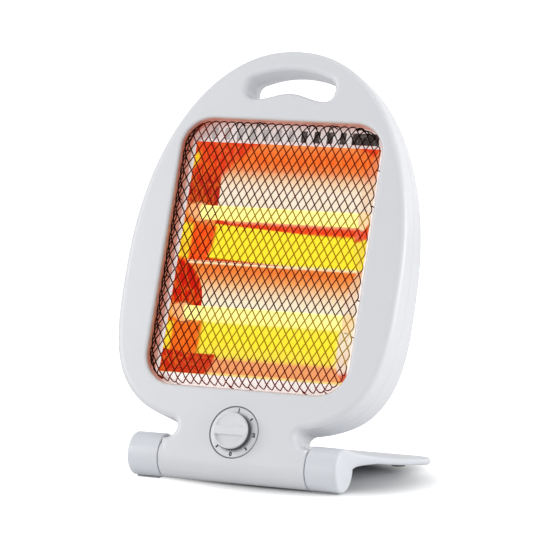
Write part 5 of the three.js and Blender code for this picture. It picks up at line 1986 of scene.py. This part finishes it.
@dataclass
class Knob:
    """The round knob with a grip bar between two scooped recesses."""

    dial: Dial
    radius: float = 15.9
    back: float = -19.7
    depth: float = 8.8
    rim: float = 1.6
    bar: float = 7.4
    cap_depth: float = 4.2
    upper_scoop: float = 0.7
    lower_scoop: float = 3.2
    knurls: int = 64
    knurl_depth: float = 0.7
    cap_inset: float = 0.6

    def cap(self) -> bmesh.types.BMesh:
        """The white cap with its grip bar between two scoops.

        Returns:
            The mesh.
        """
        face = self.back - self.depth
        skin = Skin(level(face))
        edge = skin.edge(circle(0.0, 0.0, self.radius - self.cap_inset, 72), 1.0)
        inner = self.radius - self.cap_inset - self.rim
        pockets = []
        for sign, scoop in ((1.0, self.upper_scoop), (-1.0, self.lower_scoop)):
            limit = math.acos(self.bar / 2 / inner)
            turns = [QUARTER - limit + 2 * limit * step / 24 for step in range(25)]
            points = [Vector((inner * math.cos(turn), inner * math.sin(turn))) * sign for turn in turns]
            chord = [points[-1].lerp(points[0], step / 12) for step in range(1, 12)]
            pockets.append((skin.edge(Outline(tuple(points + chord)), 0.5, hole=True), scoop))
        skin.fill()
        deep = self.cap_depth
        sides = ((0.7, 0.0), (0.35, 0.12), (0.1, 0.45), (0.0, 0.9))
        sides += ((0.0, deep - 0.4), (0.3, deep), (2.4, deep))
        skin.grow(edge, [(inset, level(face + depth)) for inset, depth in sides])
        for pocket, scoop in pockets:
            lips = ((0.3, 0.0), (0.08, 0.15), (0.0, 0.4))
            skin.grow(pocket, [(inset, level(face + depth)) for inset, depth in lips])
            floors = ((-0.25, 0.45), (-0.9, 0.8), (-2.0, 1.0), (-3.4, 1.05))
            skin.grow(pocket, [(inset, self.scooped(face, scoop * share)) for inset, share in floors])
            skin.close_hole(pocket)
        return faced(skin.close_hole(edge).bm)

    def scooped(self, face: float, depth: float) -> Surface:
        """A scoop's floor, deepest beside the bar and rising to the rim.

        Args:
            face: The cap's front.
            depth: The scoop's depth beside the bar.

        Returns:
            The surface.
        """

        def surface(height: float) -> float:
            """The scoop's depth at one height."""
            share = (abs(height) - self.bar / 2) / (self.radius - self.rim - self.bar / 2)
            return face + 0.4 + depth * (1 - 0.8 * min(max(share, 0.0), 1.0))

        return surface

    def skirt(self) -> bmesh.types.BMesh:
        """The knurled skirt that flares from under the cap to the dial.

        Returns:
            The mesh.
        """
        bm = bmesh.new()
        made = bmesh.ops.create_circle(bm, segments=2 * self.knurls, radius=self.radius, cap_ends=False)
        for vert in made["verts"][::2]:
            vert.co *= 1 - self.knurl_depth / self.radius
        edges = bm.edges[:]
        tall = self.depth - self.cap_depth
        for shrink, rise in ((1.0, 0.8), (0.93, tall - 1.6), (0.97, 0.6), (0.55, 0.4)):
            verts, edges = extruded(bm, edges)
            bmesh.ops.scale(bm, vec=(shrink, shrink, 1.0), verts=verts)
            bmesh.ops.translate(bm, vec=(0.0, 0.0, rise), verts=verts)
        bmesh.ops.holes_fill(bm, edges=bm.edges[:], sides=0)
        place = Matrix.Translation((0.0, self.back, 0.0)) @ Matrix.Rotation(QUARTER, 4, "X")
        bmesh.ops.transform(bm, matrix=place, verts=bm.verts[:])
        return faced(bm)

    def build(self, paint: Paint) -> None:
        """Builds and dresses the knob.

        Args:
            paint: The finishes.
        """
        place, node = self.dial.place(), ["control_knob"]
        finish_piece("grip_cap", self.cap(), paint.of(Finish.TRIM), node, place, Body.KNOB)
        # Painted shade: the skirt is dark where the knob's side wall falls in shadow.
        grip = paint.of(Finish.SKIRT)
        finish_piece("knurled_skirt", self.skirt(), grip, node, place, Body.KNOB, 20.0)


@dataclass
class Foot:
    """The end caps and the curved plate, in one moulding."""

    cap_half: float = 96.4
    cap_inner: float = 67.7
    radius: float = 18.5
    rounding: float = 3.0
    reach: float = 143.9
    slope: float = 0.2
    cap_step: float = 0.4
    flare_length: float = 36.0
    corner: float = 21.0
    notch: float = 67.7
    notch_reach: float = 39.0
    notch_corner: float = 10.0
    edge: float = 2.0
    chamfer: float = 0.7
    start: float = 9.3
    row_pitch: float = 3.0
    row_count: int = 44
    straight_share: float = 0.2
    tops: tuple[Pair, ...] = (
        (9.3, 16.4), (26.0, 10.6), (49.0, 4.2), (73.0, -1.2), (97.0, -5.6), (121.0, -9.3), (144.0, -12.3)
    )
    undersides: tuple[Pair, ...] = (
        (9.3, -6.0), (21.0, -1.6), (33.0, -1.0), (50.0, -2.4),
        (73.0, -7.0), (97.0, -11.3), (121.0, -15.0), (144.0, -17.6),
    )

    @staticmethod
    def along(line: Sequence[tuple[float, float]], place: float) -> float:
        """The height of a smooth line through points.

        Args:
            line: Its points.
            place: Where, along Y.

        Returns:
            The height.
        """
        place = min(max(place, line[0][0]), line[-1][0])
        slopes = []
        for index in range(len(line)):
            first = line[max(index - 1, 0)]
            last = line[min(index + 1, len(line) - 1)]
            slopes.append((last[1] - first[1]) / (last[0] - first[0]))
        for index in range(len(line) - 1):
            (y0, z0), (y1, z1) = line[index], line[index + 1]
            if place <= y1:
                span = y1 - y0
                t = (place - y0) / span
                value = (2 * t**3 - 3 * t**2 + 1) * z0 + (t**3 - 2 * t**2 + t) * span * slopes[index]
                return value + (3 * t**2 - 2 * t**3) * z1 + (t**3 - t**2) * span * slopes[index + 1]
        return line[-1][1]

    def plan(self) -> Outline:
        """The plate's plan, with Y as the outline's second coordinate.

        Returns:
            The outline.
        """
        start = self.start
        lean = Vector((self.slope, 1.0)).normalized()
        side_end = self.reach - self.corner * (1 - lean.x)
        side_x = self.cap_half + self.slope * side_end
        centre = Vector((side_x - self.corner * lean.y, self.reach - self.corner))
        right = []
        for y in range(10, 118, 6):
            share = min((y - 10) / self.flare_length, 1.0)
            flare = (self.slope * y + self.cap_step) * share**2 * (3 - 2 * share)
            right.append(Vector((self.cap_half - self.cap_step + flare, y)))
        right[0].y = start
        first = -math.atan(self.slope)
        for step in range(19):
            turn = first + (QUARTER - first) * step / 18
            right.append(centre + self.corner * Vector((math.cos(turn), math.sin(turn))))
        right += [Vector((centre.x * (1 - step / 10), self.reach)) for step in range(1, 10)]
        left = [Vector((-point.x, point.y)) for point in reversed(right)]
        notch = [Vector((-self.notch, start))]
        inner_y = self.notch_reach - self.notch_corner
        notch += [Vector((-self.notch, y)) for y in (16.0, 23.0)]
        for sign, begin in ((-1, math.pi), (1, QUARTER)):
            for step in range(9):
                turn = begin - QUARTER * step / 8
                x = sign * (self.notch - self.notch_corner) + self.notch_corner * math.cos(turn)
                notch.append(Vector((x, inner_y + self.notch_corner * math.sin(turn))))
            if sign < 0:
                notch += [Vector((x, self.notch_reach)) for x in range(-50, 51, 10)]
        notch += [Vector((self.notch, y)) for y in (23.0, 16.0)] + [Vector((self.notch, start))]
        return Outline(tuple(right + left + notch))

    def plate(self) -> bmesh.types.BMesh:
        """The curved plate with rounded edges.

        Returns:
            The mesh.
        """
        outline = self.plan()
        bm = bmesh.new()
        home = bm.verts.layers.float_vector.new("home")
        into = bm.verts.layers.float_vector.new("into")
        verts = []
        for point, step in zip(outline.points, outline.inward()):
            way = Vector((step.x, step.y, 0.0))
            if point.y < self.start + 0.1:
                straight = abs(step.x) > self.straight_share
                way = Vector((math.copysign(1.0, step.x) if straight else 0.0, 0.0, 0.0))
            vert = bm.verts.new(Vector((point.x, point.y, 0.0)) + way * self.edge)
            vert[home] = Vector((point.x, point.y, 0.0))
            vert[into] = way
            verts.append(vert)
        edges = [bm.edges.new(pair) for pair in zip(verts, verts[1:] + verts[:1])]
        bmesh.ops.triangle_fill(bm, use_beauty=True, edges=edges, normal=(0, 0, 1))
        rows = [self.start + self.row_pitch * (step + 1) for step in range(self.row_count)]
        for row in rows:
            cut(bm, (0, row, 0), (0, 1, 0))
        rim = [edge for edge in bm.edges if edge.is_boundary]
        for vert in bm.verts:
            vert.co.z = self.along(self.tops, vert.co.y)
        for step in range(1, 13):
            turn = math.pi * step / 12
            rim = extruded(bm, rim)[1]
            for vert in {vert for edge in rim for vert in edge.verts}:
                vert.co = vert[home] + vert[into] * self.edge * (1 - math.sin(turn))
                high = self.along(self.tops, vert.co.y)
                low = self.along(self.undersides, vert.co.y)
                vert.co.z = high + (low - high) * (1 - math.cos(turn)) / 2
        filled = bmesh.ops.triangle_fill(bm, use_beauty=True, edges=rim, normal=(0, 0, -1))["geom"]
        under = only(filled, bmesh.types.BMFace)
        for row in rows:
            under = [face for face in under if face.is_valid]
            geometry = set(under)
            for face in under:
                geometry.update(face.verts)
                geometry.update(face.edges)
            made = bmesh.ops.bisect_plane(bm, geom=list(geometry), plane_co=(0, row, 0), plane_no=(0, 1, 0))
            under = only(made["geom"], bmesh.types.BMFace)
            for vert in only(made["geom_cut"], bmesh.types.BMVert):
                vert.co.z = self.along(self.undersides, vert.co.y)
        bmesh.ops.remove_doubles(bm, verts=bm.verts[:], dist=WELD)
        return faced(bm)

    def cap(self, side: Side) -> bmesh.types.BMesh:
        """One end cap.

        Args:
            side: Which end.

        Returns:
            The mesh.
        """
        inner, chamfer = self.cap_inner, self.chamfer
        profile = [(0.0, inner), (self.radius - chamfer, inner), (self.radius, inner + chamfer)]
        for step in range(9):
            turn = QUARTER * step / 8
            radius = self.radius - self.rounding * (1 - math.cos(turn))
            profile.append((radius, self.cap_half - self.rounding * (1 - math.sin(turn))))
        profile.append((0.0, self.cap_half))
        return handed(spun(profile, ALONG_X, 96), side)

    def build(self, paint: Paint) -> None:
        """Builds and dresses the foot.

        Args:
            paint: The finishes.
        """
        bm = self.plate()
        for side in Side:
            add_mesh(bm, self.cap(side), HERE)
        finish_piece("foot_moulding", bm, paint.of(Finish.FOOT), ["foot"], STAND_PLACE, Body.STAND)


SLOT_FINISH = {
    "shell": Finish.SHELL,
    "trim": Finish.TRIM,
    "guard": Finish.WIRE,
    "reflector_sheet": Finish.POLISHED,
    "plain_sheet": Finish.PLAIN,
    "quartz": Finish.TUBE,
    "element": Finish.COIL,
    "ceramic": Finish.CERAMIC,
    "brass": Finish.BRASS,
    "dark_plastic": Finish.DARK,
    "rubber": Finish.RUBBER,
    "steel": Finish.STEEL,
    "lead_cover": Finish.LEAD,
}


def dress_nodes(frame: dict, paint: Paint) -> None:
    """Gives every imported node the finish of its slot.

    Args:
        paint: The finishes.
    """
    slots = {entry["node"]: entry["material_slot"] for entry in frame["record"]["subparts"]}
    for name, node in frame["nodes"].items():
        finish = SLOT_FINISH[slots[name]]
        # Painted light: the ceramic ends get glowing copies, redder at the left and paler at the right.
        if name.endswith("_ceramic"):
            finish = Finish.LEFT_CERAMIC if "_left_" in name else Finish.RIGHT_CERAMIC
        material = paint.of(finish)
        if not node.material_slots:
            node.data.materials.append(material)
        for holder in node.material_slots:
            holder.material = material


@dataclass
class Studio:
    """A pale floor, a pale surround, soft lamps and the camera."""

    azimuth: float = 24.5
    elevation: float = 8.04
    distance: float = 2.6837
    target: tuple[float, float, float] = (0.02536, 0.0, 0.16652)
    lens: float = 219.3
    sensor: float = 36.0
    aim: tuple[float, float, float] = (0.0, 0.0, 0.15)
    world: float = 0.49
    world_tint: Colour = (0.95, 0.97, 1.0)
    floor_size: float = 6.0
    floor_gap: float = 0.0003
    floor_colour: Colour = (0.9, 0.9, 0.9)
    # Painted shadow: inside this ellipse the camera sees the floor darker than it is.
    shade_colour: Colour = (0.68, 0.68, 0.68)
    shade: Pair = (0.03, 0.0)
    shade_size: Pair = (0.085, 0.06)
    shade_fade: Pair = (0.95, 1.9)
    lamps: tuple[tuple[str, tuple[float, float, float], float, float], ...] = (
        ("key", (-1.4, -1.1, 0.8), 1.0, 11.0),
        ("front", (-0.5, -2.2, 0.5), 1.2, 3.5),
        ("side", (1.9, 0.5, 0.7), 1.0, 15.0),
        ("right", (2.0, -0.4, 0.25), 1.0, 7.0),
        ("top", (-0.2, 0.1, 2.3), 1.7, 5.5),
    )

    def camera(self) -> None:
        """Places the camera at the photograph's viewing angle."""
        turn, rise = math.radians(self.azimuth), math.radians(self.elevation)
        back = Vector((math.sin(turn) * math.cos(rise), -math.cos(turn) * math.cos(rise), math.sin(rise)))
        target = Vector(self.target) + HINGE
        data = bpy.data.cameras.new("camera")
        data.lens = self.lens
        data.sensor_width = self.sensor
        camera = bpy.data.objects.new("camera", data)
        camera.location = target + back * self.distance
        camera.rotation_euler = (-back).to_track_quat("-Z", "Y").to_euler()
        bpy.context.scene.collection.objects.link(camera)
        bpy.context.scene.camera = camera

    def lights(self) -> None:
        """Places the soft lamps."""
        for name, place, size, power in self.lamps:
            data = bpy.data.lights.new(name, "AREA")
            data.size = size
            data.energy = power
            lamp = bpy.data.objects.new(name, data)
            lamp.location = place
            aim = Vector(self.aim) - Vector(place)
            lamp.rotation_euler = aim.to_track_quat("-Z", "Y").to_euler()
            bpy.context.scene.collection.objects.link(lamp)

    def surround(self) -> None:
        """Makes the world: white where it is seen, softer where it lights."""
        world = bpy.data.worlds.new("surround")
        bpy.context.scene.world = world
        tree = NodeTree(world, "ShaderNodeOutputWorld")
        lit = tree.node("ShaderNodeBackground", at_0=(*self.world_tint, 1.0), at_1=self.world).outputs[0]
        seen = tree.node("ShaderNodeBackground", at_0=(1.0, 1.0, 1.0, 1.0)).outputs[0]
        path = tree.node("ShaderNodeLightPath").outputs
        share = path["Is Camera Ray"]
        for kind in ("Is Glossy Ray", "Is Transmission Ray"):
            share = tree.node("ShaderNodeMath", share, path[kind], operation="MAXIMUM").outputs[0]
        tree.finish(tree.node("ShaderNodeMixShader", share, lit, seen))

    def floor(self) -> None:
        """Makes the pale floor: it keeps the object's real shadow, and inside an ellipse round the foot a
        darker floor that only the camera sees deepens it into painted shadow.
        """
        bm = bmesh.new()
        bmesh.ops.create_grid(bm, x_segments=2, y_segments=2, size=self.floor_size)
        bmesh.ops.translate(bm, vec=(0, 0, -self.floor_gap), verts=bm.verts[:])
        data = bpy.data.meshes.new("floor")
        bm.to_mesh(data)
        bm.free()
        floor = bpy.data.objects.new("floor", data)
        bpy.context.scene.collection.objects.link(floor)
        material = bpy.data.materials.new("pale_floor")
        tree = NodeTree(material, "ShaderNodeOutputMaterial")
        diffuse = tree.node("ShaderNodeBsdfDiffuse", at_0=(*self.floor_colour, 1.0)).outputs[0]
        # Painted shadow: a darker floor seen only by the camera inside the ellipse.
        shaded = tree.node("ShaderNodeBsdfDiffuse", at_0=(*self.shade_colour, 1.0)).outputs[0]
        place = tree.node("ShaderNodeTexCoord").outputs["Object"]
        spot = {"in_Location": (*self.shade, 0.0), "in_Scale": (*self.shade_size, 1.0)}
        centre = tree.node("ShaderNodeMapping", place, vector_type="TEXTURE", **spot).outputs[0]
        reach = tree.node("ShaderNodeVectorMath", centre, operation="LENGTH").outputs["Value"]
        low, high = self.shade_fade
        ends = {"at_1": low, "at_2": high, "at_3": 0.0, "at_4": 1.0}
        fade = tree.node("ShaderNodeMapRange", reach, interpolation_type="SMOOTHSTEP", **ends).outputs[0]
        glow = tree.node("ShaderNodeEmission", None, fade).outputs[0]
        both = tree.node("ShaderNodeAddShader", shaded, glow).outputs[0]
        seen = tree.node("ShaderNodeLightPath").outputs["Is Camera Ray"]
        tree.finish(tree.node("ShaderNodeMixShader", seen, diffuse, both))
        data.materials.append(material)

    def build(self) -> None:
        """Builds the studio."""
        bpy.context.scene.view_settings.view_transform = "Standard"
        self.camera()
        self.lights()
        self.surround()
        self.floor()


def main() -> None:
    """Builds every piece in order."""
    logging.basicConfig(level=logging.INFO, format="%(message)s")
    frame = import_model()
    paint = Paint()
    Studio().build()
    dress_nodes(frame, paint)
    housing = Housing()
    housing.build(paint)
    HousingScrew().build(paint, housing)
    WireGuard(housing).build(paint)
    Reflector(housing).build(paint)
    QuartzTubes().build(paint)
    dial = Dial()
    dial.build(paint)
    Knob(dial).build(paint)
    Foot().build(paint)


if __name__ == "__main__":
    main()
